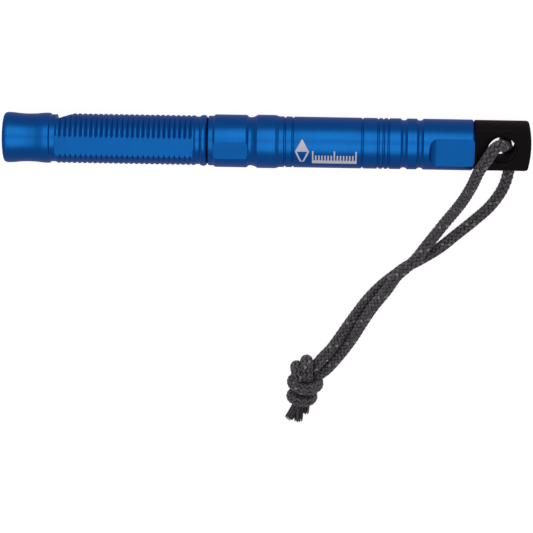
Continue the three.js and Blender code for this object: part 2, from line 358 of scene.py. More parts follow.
@dataclass(frozen=True)
class CastFerrocerium:
    """A cast ferrocerium rod: dull dark grey with a faintly pitted skin."""

    name: str = "cast ferrocerium"
    skin: str = "3B3835"
    pits: str = "24211F"
    pit_size: float = 0.35 * MM
    pit_stretch: float = 0.4  # the pits are drawn out along the rod

    def material(self) -> bpy.types.Material:
        """Make the material.

        Returns:
            The rod's finish.
        """
        material, tree, shader = new_material(self.name)
        shader.inputs["Metallic"].default_value = 0.7
        place = in_cells(tree, self.pit_size, along=self.pit_stretch)
        pits = add_node(
            tree, "ShaderNodeTexNoise", {"Vector": place, "Scale": 1.0, "Detail": 5.0}
        ).outputs["Fac"]
        depth = add_node(
            tree, "ShaderNodeMapRange", {"Value": pits, "From Min": 0.35, "From Max": 0.6}
        ).outputs["Result"]
        colour = add_node(
            tree,
            "ShaderNodeMix",
            {"Factor": depth, "A": linear(self.pits), "B": linear(self.skin)},
            data_type="RGBA",
        ).outputs["Result"]
        tree.links.new(colour, shader.inputs["Base Color"])
        roughness = add_node(
            tree, "ShaderNodeMapRange", {"Value": depth, "To Min": 0.75, "To Max": 0.5}
        ).outputs["Result"]
        tree.links.new(roughness, shader.inputs["Roughness"])
        bump = add_node(
            tree, "ShaderNodeBump", {"Height": depth, "Strength": 0.5, "Distance": 0.04 * MM}
        ).outputs["Normal"]
        tree.links.new(bump, shader.inputs["Normal"])
        return material


@dataclass(frozen=True)
class GroundSteel:
    """Hardened carbon steel, surface ground, so fine scratches run across it."""

    name: str = "ground carbon steel"
    colour: str = "A9ABAC"
    scratch: float = 0.08 * MM
    scratch_stretch: float = 0.03  # patches to a cell across the plate, so that scratches run across

    def material(self) -> bpy.types.Material:
        """Make the material.

        Returns:
            The ground finish.
        """
        material, tree, shader = new_material(self.name)
        shader.inputs["Metallic"].default_value = 1.0
        shader.inputs["Base Color"].default_value = linear(self.colour)
        place = in_cells(tree, self.scratch, across=self.scratch_stretch)
        scratches = add_node(tree, "ShaderNodeTexNoise", {"Vector": place, "Scale": 1.0}).outputs["Fac"]
        roughness = add_node(
            tree, "ShaderNodeMapRange", {"Value": scratches, "To Min": 0.22, "To Max": 0.42}
        ).outputs["Result"]
        tree.links.new(roughness, shader.inputs["Roughness"])
        bump = add_node(
            tree, "ShaderNodeBump", {"Height": scratches, "Strength": 0.3, "Distance": 0.01 * MM}
        ).outputs["Normal"]
        tree.links.new(bump, shader.inputs["Normal"])
        return material


@dataclass(frozen=True)
class LaserEtch:
    """Where a laser has burnt the dye away: a chalky, matt oxide, so it has no metal's shine."""

    name: str = "laser etched aluminium"
    bare: str = "E4EAE2"
    scorched: str = "CBD0CA"
    fleck: float = 0.6667 * MM

    def material(self) -> bpy.types.Material:
        """Make the material.

        Returns:
            The etched finish.
        """
        material, tree, shader = new_material(self.name)
        shader.inputs["Roughness"].default_value = 0.62
        place = in_cells(tree, self.fleck)
        scorch = add_node(
            tree, "ShaderNodeTexNoise", {"Vector": place, "Scale": 1.0, "Detail": 2.0}
        ).outputs["Fac"]
        colour = add_node(
            tree,
            "ShaderNodeMix",
            {"Factor": scorch, "A": linear(self.scorched), "B": linear(self.bare)},
            data_type="RGBA",
        ).outputs["Result"]
        tree.links.new(colour, shader.inputs["Base Color"])
        return material


@dataclass(frozen=True)
class BraidedPolyester:
    """Polyester yarn of a braided accessory cord: matt, slightly fuzzy and mottled.

    The folds between yarns are drawn darker as painted shade, as far as little light gets into them.
    """

    name: str
    dark: str
    pale: str
    roughness: float = 0.85
    sheen: float = 0.1
    mottle: float = 0.45 * MM  # the length of a patch of paler filaments
    crevice: float = 1.9 * MM  # how far round it a fold is shut in by other yarns
    filament: float = MM / 7  # one filament, drawn a few times its width so that it shows
    # the painted shade's colour in the folds between yarns
    crevice_shade: str = "070707"

    def material(self) -> bpy.types.Material:
        """Make the material.

        Returns:
            The yarn's finish.
        """
        material, tree, shader = new_material(self.name)
        shader.inputs["Roughness"].default_value = self.roughness
        shader.inputs["Specular IOR Level"].default_value = 0.3
        shader.inputs["Sheen Weight"].default_value = self.sheen
        place = in_cells(tree, self.mottle)
        mottle = add_node(
            tree, "ShaderNodeTexNoise", {"Vector": place, "Scale": 1.0, "Detail": 3.0}
        ).outputs["Fac"]
        share = add_node(
            tree, "ShaderNodeMapRange", {"Value": mottle, "From Min": 0.35, "From Max": 0.68}
        ).outputs["Result"]
        colour = add_node(
            tree,
            "ShaderNodeMix",
            {"Factor": share, "A": linear(self.dark), "B": linear(self.pale)},
            data_type="RGBA",
        ).outputs["Result"]
        # painted shade: the more a fold is shut in by other yarns, the nearer its colour is drawn to the
        # near-black shade colour
        open_to_light = add_node(
            tree, "ShaderNodeAmbientOcclusion", {"Distance": self.crevice}, samples=8
        ).outputs["AO"]
        lit = add_node(
            tree, "ShaderNodeMapRange", {"Value": open_to_light, "From Min": 0.2, "From Max": 0.84}
        ).outputs["Result"]
        fold_shaded = add_node(
            tree,
            "ShaderNodeMix",
            {"Factor": lit, "A": linear(self.crevice_shade), "B": colour},
            data_type="RGBA",
        ).outputs["Result"]
        tree.links.new(fold_shaded, shader.inputs["Base Color"])
        fuzz = in_cells(tree, self.filament)
        filaments = add_node(tree, "ShaderNodeTexNoise", {"Vector": fuzz, "Scale": 1.0}).outputs["Fac"]
        bump = add_node(
            tree, "ShaderNodeBump", {"Height": filaments, "Strength": 0.5, "Distance": 0.05 * MM}
        ).outputs["Normal"]
        tree.links.new(bump, shader.inputs["Normal"])
        return material


@dataclass(frozen=True)
class PaleFloor:
    """An opal acrylic table lit from below, so what lies on it throws almost no shadow."""

    name: str = "opal acrylic table"
    acrylic: str = "969696"
    acrylic_shade: str = "929292"
    glow: float = 0.9
    glow_colour: str = "FFFFFF"
    patch: float = 125 * MM

    def material(self) -> bpy.types.Material:
        """Make the material.

        Returns:
            The floor's finish.
        """
        material, tree, shader = new_material(self.name)
        shader.inputs["Roughness"].default_value = 1.0
        shader.inputs["Specular IOR Level"].default_value = 0.0
        shader.inputs["Emission Color"].default_value = linear(self.glow_colour)
        shader.inputs["Emission Strength"].default_value = self.glow
        place = in_cells(tree, self.patch)
        patches = add_node(tree, "ShaderNodeTexNoise", {"Vector": place, "Scale": 1.0}).outputs["Fac"]
        colour = add_node(
            tree,
            "ShaderNodeMix",
            {"Factor": patches, "A": linear(self.acrylic_shade), "B": linear(self.acrylic)},
            data_type="RGBA",
        ).outputs["Result"]
        tree.links.new(colour, shader.inputs["Base Color"])
        return material


# ---------------------------------------------------------------- profiles


def soften(profile: Profile, radius: float, steps: int = 3) -> Profile:
    """Round the corners of an open profile, as an edge break does.

    Args:
        profile: [x, radius] points in millimetres.
        radius: How large the rounding is.
        steps: Points in each rounded corner, less one.

    Returns:
        The profile with its corners rounded.
    """
    rounded = [profile[0]]
    for before, corner, after in zip(profile, profile[1:], profile[2:]):
        a, b, c = Vector(before), Vector(corner), Vector(after)
        into, out = a - b, c - b
        reach = min(radius, 0.4 * into.length, 0.4 * out.length)
        if reach < LEAST_BREAK:
            rounded.append(corner)
            continue
        start, end = b + into.normalized() * reach, b + out.normalized() * reach
        for i in range(steps + 1):
            t = i / steps
            point = start * (1 - t) ** 2 + b * (2 * t * (1 - t)) + end * t**2
            rounded.append((point.x, point.y))
    rounded.append(profile[-1])
    return rounded


def flowing(points: Profile, steps: int = 5) -> Profile:
    """Run a smooth curve through the points of a profile.

    Args:
        points: [x, radius] points in millimetres.
        steps: Points drawn between two given ones.

    Returns:
        The curve's points.
    """
    curve = []
    padded = [points[0], *points, points[-1]]
    for p0, p1, p2, p3 in zip(padded, padded[1:], padded[2:], padded[3:]):
        for i in range(steps):
            t = i / steps
            curve.append(tuple(spline(p0[k], p1[k], p2[k], p3[k], t) for k in (0, 1)))
    curve.append(points[-1])
    return curve


def spline(p0: float, p1: float, p2: float, p3: float, t: float) -> float:
    """Find a point of a Catmull-Rom curve between p1 and p2.

    Args:
        p0: The value before p1.
        p1: The value at t = 0.
        p2: The value at t = 1.
        p3: The value after p2.
        t: How far along from p1 to p2.

    Returns:
        The curve's value at t.
    """
    a = 2 * p1
    b = p2 - p0
    c = 2 * p0 - 5 * p1 + 4 * p2 - p3
    d = -p0 + 3 * p1 - 3 * p2 + p3
    return 0.5 * (a + b * t + c * t * t + d * t**3)


def scooped_groove(centre: float, surface: float, width: float, depth: float, steps: int = 10) -> Profile:
    """Draw a round-bottomed groove as an arc.

    Args:
        centre: Where it is along the tool.
        surface: The radius it is cut into.
        width: Its width at the surface.
        depth: Its depth.
        steps: Segments in the arc.

    Returns:
        The groove's points.
    """
    radius = width**2 / (8 * depth) + depth / 2
    reach = math.asin(width / (2 * radius))
    angles = [-reach + 2 * reach * i / steps for i in range(steps + 1)]
    return [(centre + radius * math.sin(a), surface - depth + radius * (1 - math.cos(a))) for a in angles]


def square_groove(centre: float, surface: float, width: float, depth: float) -> Profile:
    """Draw a narrow groove with near-upright sides.

    Args:
        centre: Where it is along the tool.
        surface: The radius it is cut into.
        width: Its width at the surface.
        depth: Its depth.

    Returns:
        The groove's points.
    """
    half = width / 2
    floor = surface - depth
    foot = 0.6 * half
    left = [(centre - half, surface), (centre - foot, floor)]
    return [*left, (centre + foot, floor), (centre + half, surface)]


# ---------------------------------------------------------------- meshes


def at(x: float, radius: float, angle: float) -> tuple[float, float, float]:
    """Place a point given round the tool's axis in the row frame, in metres.

    Args:
        x: Millimetres from the mouth end.
        radius: Millimetres from the axis.
        angle: Radians from straight up towards +Y.

    Returns:
        The point.
    """
    return (MOUTH_X + x * MM, radius * math.sin(angle) * MM, AXIS_Z + radius * math.cos(angle) * MM)


def mesh_object(name: str, points: list, faces: list) -> bpy.types.Object:
    """Make an object from points and faces, with its faces pointing out.

    Args:
        name: The object's name.
        points: Points in metres in the row frame.
        faces: Lists of point numbers.

    Returns:
        The new object.
    """
    mesh = bpy.data.meshes.new(name)
    mesh.from_pydata(points, [], faces)
    work = bmesh.new()
    work.from_mesh(mesh)
    bmesh.ops.recalc_face_normals(work, faces=work.faces)
    work.to_mesh(mesh)
    work.free()
    thing = bpy.data.objects.new(name, mesh)
    bpy.context.scene.collection.objects.link(thing)
    return thing


def turned(name: str, profile: Profile, sides: int = ROUND) -> bpy.types.Object:
    """Turn a profile about the tool's axis.

    Args:
        name: The object's name.
        profile: [x, radius] points; it starts and ends on the axis, or ends where it starts.
        sides: Points round each ring.

    Returns:
        A closed turned body.
    """
    ring = profile[:-1] if profile[0] == profile[-1] else profile
    points, starts = [], []
    for x, radius in ring:
        starts.append(len(points))
        count = 1 if radius < ON_AXIS else sides
        points += [at(x, radius, 2 * math.pi * i / sides) for i in range(count)]
    pairs = list(zip(range(len(ring)), range(1, len(ring))))
    if len(ring) < len(profile):
        pairs.append((len(ring) - 1, 0))
    faces = []
    for a, b in pairs:
        for i in range(sides):
            j = (i + 1) % sides
            a0, a1 = (starts[a], starts[a]) if ring[a][1] < ON_AXIS else (starts[a] + i, starts[a] + j)
            b0, b1 = (starts[b], starts[b]) if ring[b][1] < ON_AXIS else (starts[b] + i, starts[b] + j)
            face = list(dict.fromkeys([a0, a1, b1, b0]))
            if len(face) > 2:
                faces.append(face)
    return mesh_object(name, points, faces)


def prism(name: str, outline: Profile, half_width: float = REACH, turn: float = 0.0) -> bpy.types.Object:
    """Draw a bar across the tool from an outline in its long plane.

    Args:
        name: The object's name.
        outline: [x, height above the axis] points in millimetres.
        half_width: Half of the bar's width across the tool.
        turn: Degrees it is turned about the axis, from straight up towards +Y.

    Returns:
        The bar.
    """
    angle = math.radians(turn)
    points = []
    for side in (-half_width, half_width):
        for x, height in outline:
            y = side * math.cos(angle) + height * math.sin(angle)
            z = -side * math.sin(angle) + height * math.cos(angle)
            points.append((MOUTH_X + x * MM, y * MM, AXIS_Z + z * MM))
    count = len(outline)
    faces = [list(range(count)), list(range(2 * count - 1, count - 1, -1))]
    faces += [[i, (i + 1) % count, count + (i + 1) % count, count + i] for i in range(count)]
    return mesh_object(name, points, faces)


def three_sided(name: str, points: list) -> bpy.types.Object:
    """Join triangles of points, one after another, into a closed bar.

    Args:
        name: The object's name.
        points: Three points for each triangle, in metres in the row frame.

    Returns:
        The bar.
    """
    faces = []
    for a in range(0, len(points) - 3, 3):
        b = a + 3
        faces += [[a, a + 1, b + 1, b], [a + 1, a + 2, b + 2, b + 1], [a + 2, a, b, b + 2]]
    faces += [[0, 1, 2], [len(points) - 3 + k for k in (0, 2, 1)]]
    return mesh_object(name, points, faces)


def block(x0: float, x1: float, low: float, high: float) -> Profile:
    """Draw a rectangle as an outline.

    Args:
        x0: Its left end.
        x1: Its right end.
        low: Its lower edge.
        high: Its upper edge.

    Returns:
        Its four corners.
    """
    return [(x0, low), (x1, low), (x1, high), (x0, high)]


def carve(thing: bpy.types.Object, cutters: list[bpy.types.Object]) -> None:
    """Cut a body with others and remove them.

    Args:
        thing: The body that is cut.
        cutters: The bodies that cut it.
    """
    for cutter in cutters:
        modifier = thing.modifiers.new("cut", "BOOLEAN")
        modifier.operation = "DIFFERENCE"
        modifier.solver = "EXACT"
        modifier.object = cutter
        bpy.context.view_layer.update()
        done = bpy.data.meshes.new_from_object(thing.evaluated_get(bpy.context.evaluated_depsgraph_get()))
        thing.modifiers.remove(modifier)
        old, thing.data = thing.data, done
        bpy.data.meshes.remove(old)
        bpy.data.objects.remove(cutter, do_unlink=True)


def smooth(thing: bpy.types.Object, angle: float = 32.0, flat_turn: float = 0.0) -> bpy.types.Object:
    """Shade a body smooth, with creases where it bends sharply and round its milled flats.

    Args:
        thing: The body.
        angle: The least bend, in degrees, that stays a crease.
        flat_turn: Degrees its milled flats are turned about the axis, from level.

    Returns:
        The same body.
    """
    mesh = thing.data
    mesh.shade_smooth()
    mesh.set_sharp_from_angle(angle=math.radians(angle))
    work = bmesh.new()
    work.from_mesh(mesh)
    square = Vector((0, math.sin(math.radians(flat_turn)), math.cos(math.radians(flat_turn))))
    milled = {face for face in work.faces if abs(face.normal.dot(square)) > MILLED}
    for face in milled:
        for edge in face.edges:
            if any(other not in milled for other in edge.link_faces):
                edge.smooth = False
    work.to_mesh(mesh)
    work.free()
    return thing


def dress(
    thing: bpy.types.Object,
    finish: bpy.types.Material,
    body: Body,
    nodes: tuple[str, ...] = (),
) -> bpy.types.Object:
    """Give a piece its finish and body, and hide the CAD nodes that it stands for.

    Args:
        thing: The piece.
        finish: Its material.
        body: The body that it moves with.
        nodes: The CAD nodes that it replaces.

    Returns:
        The same piece.
    """
    if not thing.data.materials:
        thing.data.materials.append(finish)
    if nodes:
        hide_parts(*nodes)
    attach(thing, body.value)
    LOG.info("%s rides on %s, %d faces", thing.name, body.value, len(thing.data.polygons))
    return thing


# ---------------------------------------------------------------- screw thread


@dataclass
class ScrewThread:
    """A rolled 60-degree thread with rounded crests, as one skin over a plain core."""

    start: float = 51.7
    end: float = 57.5
    root: float = 4.3
    crest: float = 4.9
    pitch: float = 1.5
    run_out: float = 0.9
    sides: int = 96
    steps: int = 14  # rings in one pitch

    def height(self, x: float, angle: float) -> float:
        """Find the thread's height at a place.

        Args:
            x: Millimetres from the mouth end.
            angle: Radians about the axis.

        Returns:
            The radius there, in millimetres.
        """
        phase = (x / self.pitch + angle / (2 * math.pi)) % 1.0
        ridge = max(0.0, min(1.0, 1.25 - 2.5 * abs(phase - 0.5)))
        fade = min(1.0, (x - self.start) / self.run_out, (self.end - x) / self.run_out)
        return self.root + (self.crest - self.root) * ridge * max(0.0, fade)

    def mesh(self, name: str) -> bpy.types.Object:
        """Build the thread's skin, closed by flat ends.

        Args:
            name: The object's name.

        Returns:
            The thread.
        """
        count = int((self.end - self.start) / (self.pitch / self.steps))
        points, faces = [], []
        for i in range(count + 1):
            x = self.start + (self.end - self.start) * i / count
            angles = [2 * math.pi * k / self.sides for k in range(self.sides)]
            points += [at(x, self.height(x, a), a) for a in angles]
        for i in range(count):
            for k in range(self.sides):
                a, b = i * self.sides + k, i * self.sides + (k + 1) % self.sides
                faces.append([a, b, b + self.sides, a + self.sides])
        faces.append(list(range(self.sides)))
        faces.append(list(range(count * self.sides, (count + 1) * self.sides)))
        return mesh_object(name, points, faces)


# ---------------------------------------------------------------- whistle


@dataclass
class Whistle:
    """The screw-on whistle: waisted mouthpiece, ribbed barrel, bead and threaded spigot."""

    bore: float = 4.9
    bore_mouth: float = 5.2  # where the bore's edge is broken at the mouth
    bore_break: float = 0.35
    chamber_end: float = 46.0
    drill_point: float = 1.2
    land: float = 5.91  # the step between the mouthpiece and the ribs
    rib_start: float = 13.15
    rib_pitch: float = 1.302
    rib_count: int = 27
    rib_radius: float = 6.24
    rib_depth: float = 0.31
    rib_steps: int = 12
    rib_fullness: float = 2.2  # the higher it is, the fuller the crests and the sharper the valleys
    neck: float = 5.96
    bead_start: float = 49.2
    bead_end: float = 50.98
    bead_radius: float = 6.375
    seat: float = 50.65  # the face that squeezes the seal, under the bead's lip
    spigot: float = 4.62
    thread_start: float = 51.75
    thread_end: float = 57.4
    thread_core: float = 4.25
    nose: float = 4.45
    spigot_end: float = 58.15
    flat_height: float = 5.58
    flat_start: float = 13.1
    flat_end: float = 47.6
    flat_turn: float = 3.0  # how far the flats stand round when the whistle is screwed home
    window_wall: float = 13.24
    window_end: float = 17.7
    window_depth: float = 1.55
    window_turn: float = 113.0
    window_lift: float = 1.2  # how far the window's cutter stands out of the ribs
    plug: float = 4.55
    plug_face: float = 0.4
    plug_end: float = 13.1
    windway: float = 3.3  # the height of the flat that makes the windway
    striker_start: float = 54.4
    striker_end: float = 63.6
    striker_half: float = 0.75  # half its thickness
    striker_width: float = 3.2  # half its width
    striker_edge: float = 0.5
    slot_room: float = 0.3

    def head(self) -> Profile:
        """Draw the mouthpiece, from its rolled lip over its waist to the land behind it.

        Returns:
            Its points.
        """
        lip = flowing([(0.0, 5.45), (0.1, 5.86), (0.34, 6.13), (0.75, 6.3), (1.3, 6.345)], 4)
        waist = flowing(
            [
                (1.3, 6.345), (2.5, 6.27), (3.8, 6.12), (5.8, 6.01),
                (8.0, 6.065), (9.4, 6.2), (10.3, 6.28), (11.3, 6.29),
            ],
            6,
        )
        step = soften([(11.3, 6.29), (11.6, 6.27), (11.86, self.land), (self.rib_start, self.land)], 0.12)
        return lip + waist[1:] + step[1:]

    def ribs(self) -> Profile:
        """Draw the grip ribs: rounded crests that meet in soft V-shaped valleys.

        Returns:
            Their points.
        """
        points = []
        for i in range(self.rib_count):
            for k in range(self.rib_steps):
                t = k / self.rib_steps
                rise = 1 - abs(2 * t - 1) ** self.rib_fullness
                x = self.rib_start + (i + t) * self.rib_pitch
                points.append((x, self.rib_radius - self.rib_depth * (1 - rise)))
        return points

    def tail(self) -> Profile:
        """Draw the neck, the bead and the core of the spigot.

        Returns:
            Their points.
        """
        ribs_end = self.rib_start + self.rib_count * self.rib_pitch
        middle = (self.bead_start + self.bead_end) / 2
        lip = self.neck - 0.02
        bead = flowing(
            [
                (self.bead_start, self.neck),
                (self.bead_start + 0.3, self.bead_radius - 0.14),
                (middle, self.bead_radius),
                (self.bead_end - 0.25, self.bead_radius - 0.12),
                (self.bead_end, lip),
            ],
            5,
        )
        spigot = soften(
            [
                (self.bead_end, lip),
                (self.seat, lip),
                (self.seat, self.spigot),
                (self.thread_start, self.spigot),
                (self.thread_start, self.thread_core),
                (self.thread_end, self.thread_core),
                (self.thread_end, self.nose),
                (self.spigot_end - 0.3, self.nose),
                (self.spigot_end, self.nose - 0.3),
                (self.spigot_end, 0.0),
            ],
            0.08,
        )
        return [(ribs_end, self.neck), *bead, *spigot[1:]]

    def barrel(self, blue: bpy.types.Material) -> bpy.types.Object:
        """Build the whole turned and milled barrel.

        Args:
            blue: The anodised finish.

        Returns:
            The barrel.
        """
        inside = [
            (self.chamber_end + self.drill_point, 0.0),
            (self.chamber_end, self.bore),
            (self.bore_break, self.bore),
            (0.0, self.bore_mouth),
        ]
        thing = turned("whistle_body", inside + self.head() + self.ribs() + self.tail())
        first, last, top = self.flat_start, self.flat_end, self.flat_height
        wall, deep = self.window_wall, self.window_depth + self.window_lift
        clear = self.rib_radius + self.window_lift
        run = (self.window_end - wall) / self.window_depth
        wedge = [(wall, self.rib_radius - self.window_depth), (wall + deep * run, clear), (wall, clear)]
        room = self.striker_half + self.slot_room
        slot = block(self.striker_start - self.slot_room, self.spigot_end + 1, -room, room)
        carve(
            thing,
            [
                prism("flat_above", block(first, last, top, top + 4), turn=self.flat_turn),
                prism("flat_below", block(first, last, -top - 4, -top), turn=self.flat_turn),
                prism("window", wedge, turn=self.window_turn),
                prism("striker_slot", slot, self.striker_width + self.slot_room),
            ],
        )
        smooth(thing, flat_turn=self.flat_turn)
        return dress(thing, blue, Body.WHISTLE, ("whistle_barrel",))

    def windway_block(self, nylon: bpy.types.Material) -> bpy.types.Object:
        """Build the block in the mouth, with the flat that makes the windway.

        Args:
            nylon: The moulded finish.

        Returns:
            The block.
        """
        face, end, radius, lead = self.plug_face, self.plug_end, self.plug, 0.25
        outline = [(face, 0.0), (face, radius - lead), (face + lead, radius), (end, radius), (end, 0.0)]
        thing = turned("windway_block", soften(outline, 0.12))
        carve(thing, [prism("windway", block(-1, end + 2, self.windway, 8), turn=self.window_turn)])
        return dress(smooth(thing), nylon, Body.WHISTLE, ("fipple_plug",))

    def striker(self, steel: bpy.types.Material) -> bpy.types.Object:
        """Build the hardened plate that strikes the rod, ground to a square edge.

        Args:
            steel: The ground finish.

        Returns:
            The plate.
        """
        start, end, half = self.striker_start, self.striker_end, self.striker_half
        edge = -half + self.striker_edge
        outline = [(start, -half), (end - 0.7, -half), (end, edge), (end, half), (start, half)]
        thing = prism("striker_plate", outline, self.striker_width)
        return dress(smooth(thing), steel, Body.WHISTLE, ("striker_blade",))

    def build(self, blue: bpy.types.Material, nylon: bpy.types.Material, steel: bpy.types.Material) -> None:
        """Build every piece of the whistle.

        Args:
            blue: The anodised finish.
            nylon: The moulded finish.
            steel: The ground finish.
        """
        self.barrel(blue)
        self.windway_block(nylon)
        self.striker(steel)
        thread = ScrewThread().mesh("spigot_thread")
        dress(smooth(thread), blue, Body.WHISTLE)


# ---------------------------------------------------------------- tube


@dataclass
class FireTube:
    """The tube: threaded socket, collar, ring, grooves and flatted tail, with an etched mark."""

    bar: float = 6.35
    collar: float = 6.585
    ring: float = 6.67
    bore: float = 4.2
    socket: float = 5.0
    start: float = 51.2
    end: float = 117.7
    collar_flat: float = 6.185
    collar_flat_start: float = 52.7
    collar_flat_end: float = 61.3
    tail_flat: float = 5.18
    scoop: float = 2.35  # the radius of the end mill that cuts the tail's flats
    scoop_floor: float = 108.4
    thread_from: float = 52.6
    thread_turns: int = 4
    thread_pitch: float = 1.5
    thread_sides: int = 72
    fine_grooves: tuple[float, ...] = (70.53, 72.54, 89.86, 93.78, 95.13, 96.4)
    grip_grooves: tuple[float, ...] = (100.2, 104.2)

    def outside(self) -> Profile:
        """Draw the outside, from the seam to the tail.

        Returns:
            Its points.
        """
        points = [
            (self.start, self.socket + 0.2),
            (self.start, 5.8),
            (51.5, 6.225),
            (52.62, 6.225),
            (52.84, 6.36),
            (53.05, self.collar),
            (60.9, self.collar),
            (61.15, 6.4),
            (61.5, 6.08),
            (62.1, 6.035),
            (62.7, 6.16),
            (63.45, 6.5),
            (63.62, self.ring),
            (68.15, self.ring),
            (69.1, self.bar),
        ]
        for x in self.fine_grooves:
            points += square_groove(x, self.bar, 0.52, 0.26)
        points = soften(points, 0.09)
        for x in self.grip_grooves:
            points += scooped_groove(x, self.bar, 1.7, 0.44)
        chamfer = [(self.end - 0.5, self.bar), (self.end, self.bar - 0.5)]
        return points + soften([(105.4, self.bar), *chamfer, (self.end, self.bore)], 0.1)

    def inside(self) -> Profile:
        """Draw the bore and the threaded socket, from the tail back to the seam.

        Returns:
            Its points.
        """
        return [
            (self.end, self.bore + 0.25),
            (self.end - 0.25, self.bore),
            (59.6, self.bore),
            (59.4, self.socket),
            (self.start + 0.2, self.socket),
            (self.start, self.socket + 0.2),
        ]

    def tail_cutter(self, side: int) -> bpy.types.Object:
        """Draw the end mill's path for one tail flat.

        Args:
            side: 1 for the flat above, -1 for the one below.

        Returns:
            The cutter.
        """
        top, mill = self.tail_flat + self.scoop, self.scoop
        angles = [math.pi + 0.5 * math.pi * i / 16 for i in range(17)]
        arc = [(self.scoop_floor + mill * math.cos(a), top + mill * math.sin(a)) for a in angles]
        outline = [*arc, (self.end + 1, self.tail_flat), (self.end + 1, top)]
        return prism("tail_flat", [(x, side * height) for x, height in outline])

    def shell(self, blue: bpy.types.Material) -> bpy.types.Object:
        """Build the turned and milled tube.

        Args:
            blue: The anodised finish.

        Returns:
            The tube.
        """
        thing = turned("tube_body", self.outside()[:-1] + self.inside())
        first, last, flat = self.collar_flat_start, self.collar_flat_end, self.collar_flat
        carve(
            thing,
            [
                prism("collar_flat_above", block(first, last, flat, flat + 4)),
                prism("collar_flat_below", block(first, last, -flat - 4, -flat)),
                self.tail_cutter(1),
                self.tail_cutter(-1),
            ],
        )
        return dress(smooth(thing), blue, Body.TUBE, ("main_tube",))

    def socket_thread(self, blue: bpy.types.Material) -> bpy.types.Object:
        """Build the shallow crests of the thread inside the socket.

        Args:
            blue: The anodised finish.

        Returns:
            The thread.
        """
        sides, points = self.thread_sides, []
        foot, crest = self.socket + 0.05, self.socket - 0.06
        for i in range(self.thread_turns * sides + 1):
            angle = 2 * math.pi * i / sides
            x = self.thread_from + self.thread_pitch * i / sides
            points += [at(x - 0.3, foot, -angle), at(x, crest, -angle), at(x + 0.3, foot, -angle)]
        return dress(smooth(three_sided("socket_thread", points)), blue, Body.TUBE)

    def build(self, blue: bpy.types.Material, etch: bpy.types.Material) -> None:
        """Build every piece of the tube.

        Args:
            blue: The anodised finish.
            etch: The laser mark's finish.
        """
        self.shell(blue)
        self.socket_thread(blue)
        LaserScale(surface=self.bar).build(etch)


# ---------------------------------------------------------------- etched mark


@dataclass
class LaserScale:
    """A plain etched mark on the tube: a compass needle and a ruler, with no figures or letters."""

    surface: float
    needle_x: float = 74.9
    needle_half: float = 1.75
    needle_height: float = 6.2
    ruler_start: float = 77.4
    ruler_end: float = 88.5
    divisions: int = 14
    long_each: int = 7  # every seventh division is long, from the first
    long_tick: float = 3.3
    short_tick: float = 2.1
    base_angle: float = -27.0  # the base line, in degrees from straight up towards +Y
    sink: float = 0.02
    lift: float = 0.006
    line: float = 0.36
    base_line: float = 1.1
    tip: float = 0.08  # half the width of the needle's blunt tip
    patch: float = 0.4  # the most that one flat patch goes round the tube

    def tile(self, points: list, faces: list, foot: tuple, head: tuple) -> None:
        """Add one thin etched patch that follows the tube.

        Args:
            points: The mesh's points so far.
            faces: The mesh's faces so far.
            foot: Its left end, right end and height at the foot, in millimetres of arc.
            head: The same at its head.
        """
        steps = max(2, math.ceil(abs(head[2] - foot[2]) / self.patch))
        first = len(points)
        for i in range(steps + 1):
            x0, x1, arc = (a + (b - a) * i / steps for a, b in zip(foot, head))
            angle = math.radians(self.base_angle) + arc / self.surface
            for radius in (self.surface - self.sink, self.surface + self.lift):
                points += [at(x0, radius, angle), at(x1, radius, angle)]
        for i in range(steps):
            a, b = first + 4 * i, first + 4 * (i + 1)
            faces += [
                [a + 2, a + 3, b + 3, b + 2],
                [a, a + 1, b + 1, b],
                [a, a + 2, b + 2, b],
                [a + 1, a + 3, b + 3, b + 1],
            ]
        last = first + 4 * steps
        faces += [
            [first, first + 1, first + 3, first + 2],
            [last, last + 1, last + 3, last + 2],
        ]

    def needle(self, points: list, faces: list) -> None:
        """Add the compass needle: a solid upper half over an outlined lower one.

        Args:
            points: The mesh's points so far.
            faces: The mesh's faces so far.
        """
        x, half, middle = self.needle_x, self.needle_half, self.needle_height / 2
        stroke = self.line * 1.25
        point = (x - self.tip, x + self.tip, self.needle_height)
        self.tile(points, faces, (x - half, x + half, middle), point)
        for side in (-1, 1):
            outer = sorted((x + side * half, x + side * (half - stroke)))
            inner = sorted((x, x + side * stroke))
            self.tile(points, faces, (*inner, 0.0), (*outer, middle - 0.02))

    def build(self, etch: bpy.types.Material) -> None:
        """Build the mark.

        Args:
            etch: The laser mark's finish.
        """
        points, faces = [], []
        self.needle(points, faces)
        first, last, half = self.ruler_start, self.ruler_end, self.base_line / 2
        self.tile(points, faces, (first, last, -half), (first, last, half))
        for i in range(self.divisions + 1):
            x = first + (last - first - self.line) * i / self.divisions
            height = self.long_tick if i % self.long_each == 0 else self.short_tick
            self.tile(points, faces, (x, x + self.line, half), (x, x + self.line, height))
        dress(mesh_object("etched_scale", points, faces), etch, Body.TUBE)


# ---------------------------------------------------------------- seals


@dataclass
class SealRing:
    """A rubber ring of round section about the axis."""

    name: str
    node: str
    body: Body
    x: float
    centre: float
    half_length: float
    half_height: float
    steps: int = 20  # sides of its section
    sides: int = 96  # round the axis

    def build(self, rubber: bpy.types.Material) -> None:
        """Build the ring.

        Args:
            rubber: The rubber finish.
        """
        section = []
        for i in range(self.steps + 1):
            angle = math.pi - 2 * math.pi * (i % self.steps) / self.steps
            out = self.centre + self.half_height * math.sin(angle)
            section.append((self.x + self.half_length * math.cos(angle), out))
        ring = smooth(turned(self.name, section, self.sides), angle=60)
        dress(ring, rubber, self.body, (self.node,))


# ---------------------------------------------------------------- handle and rod


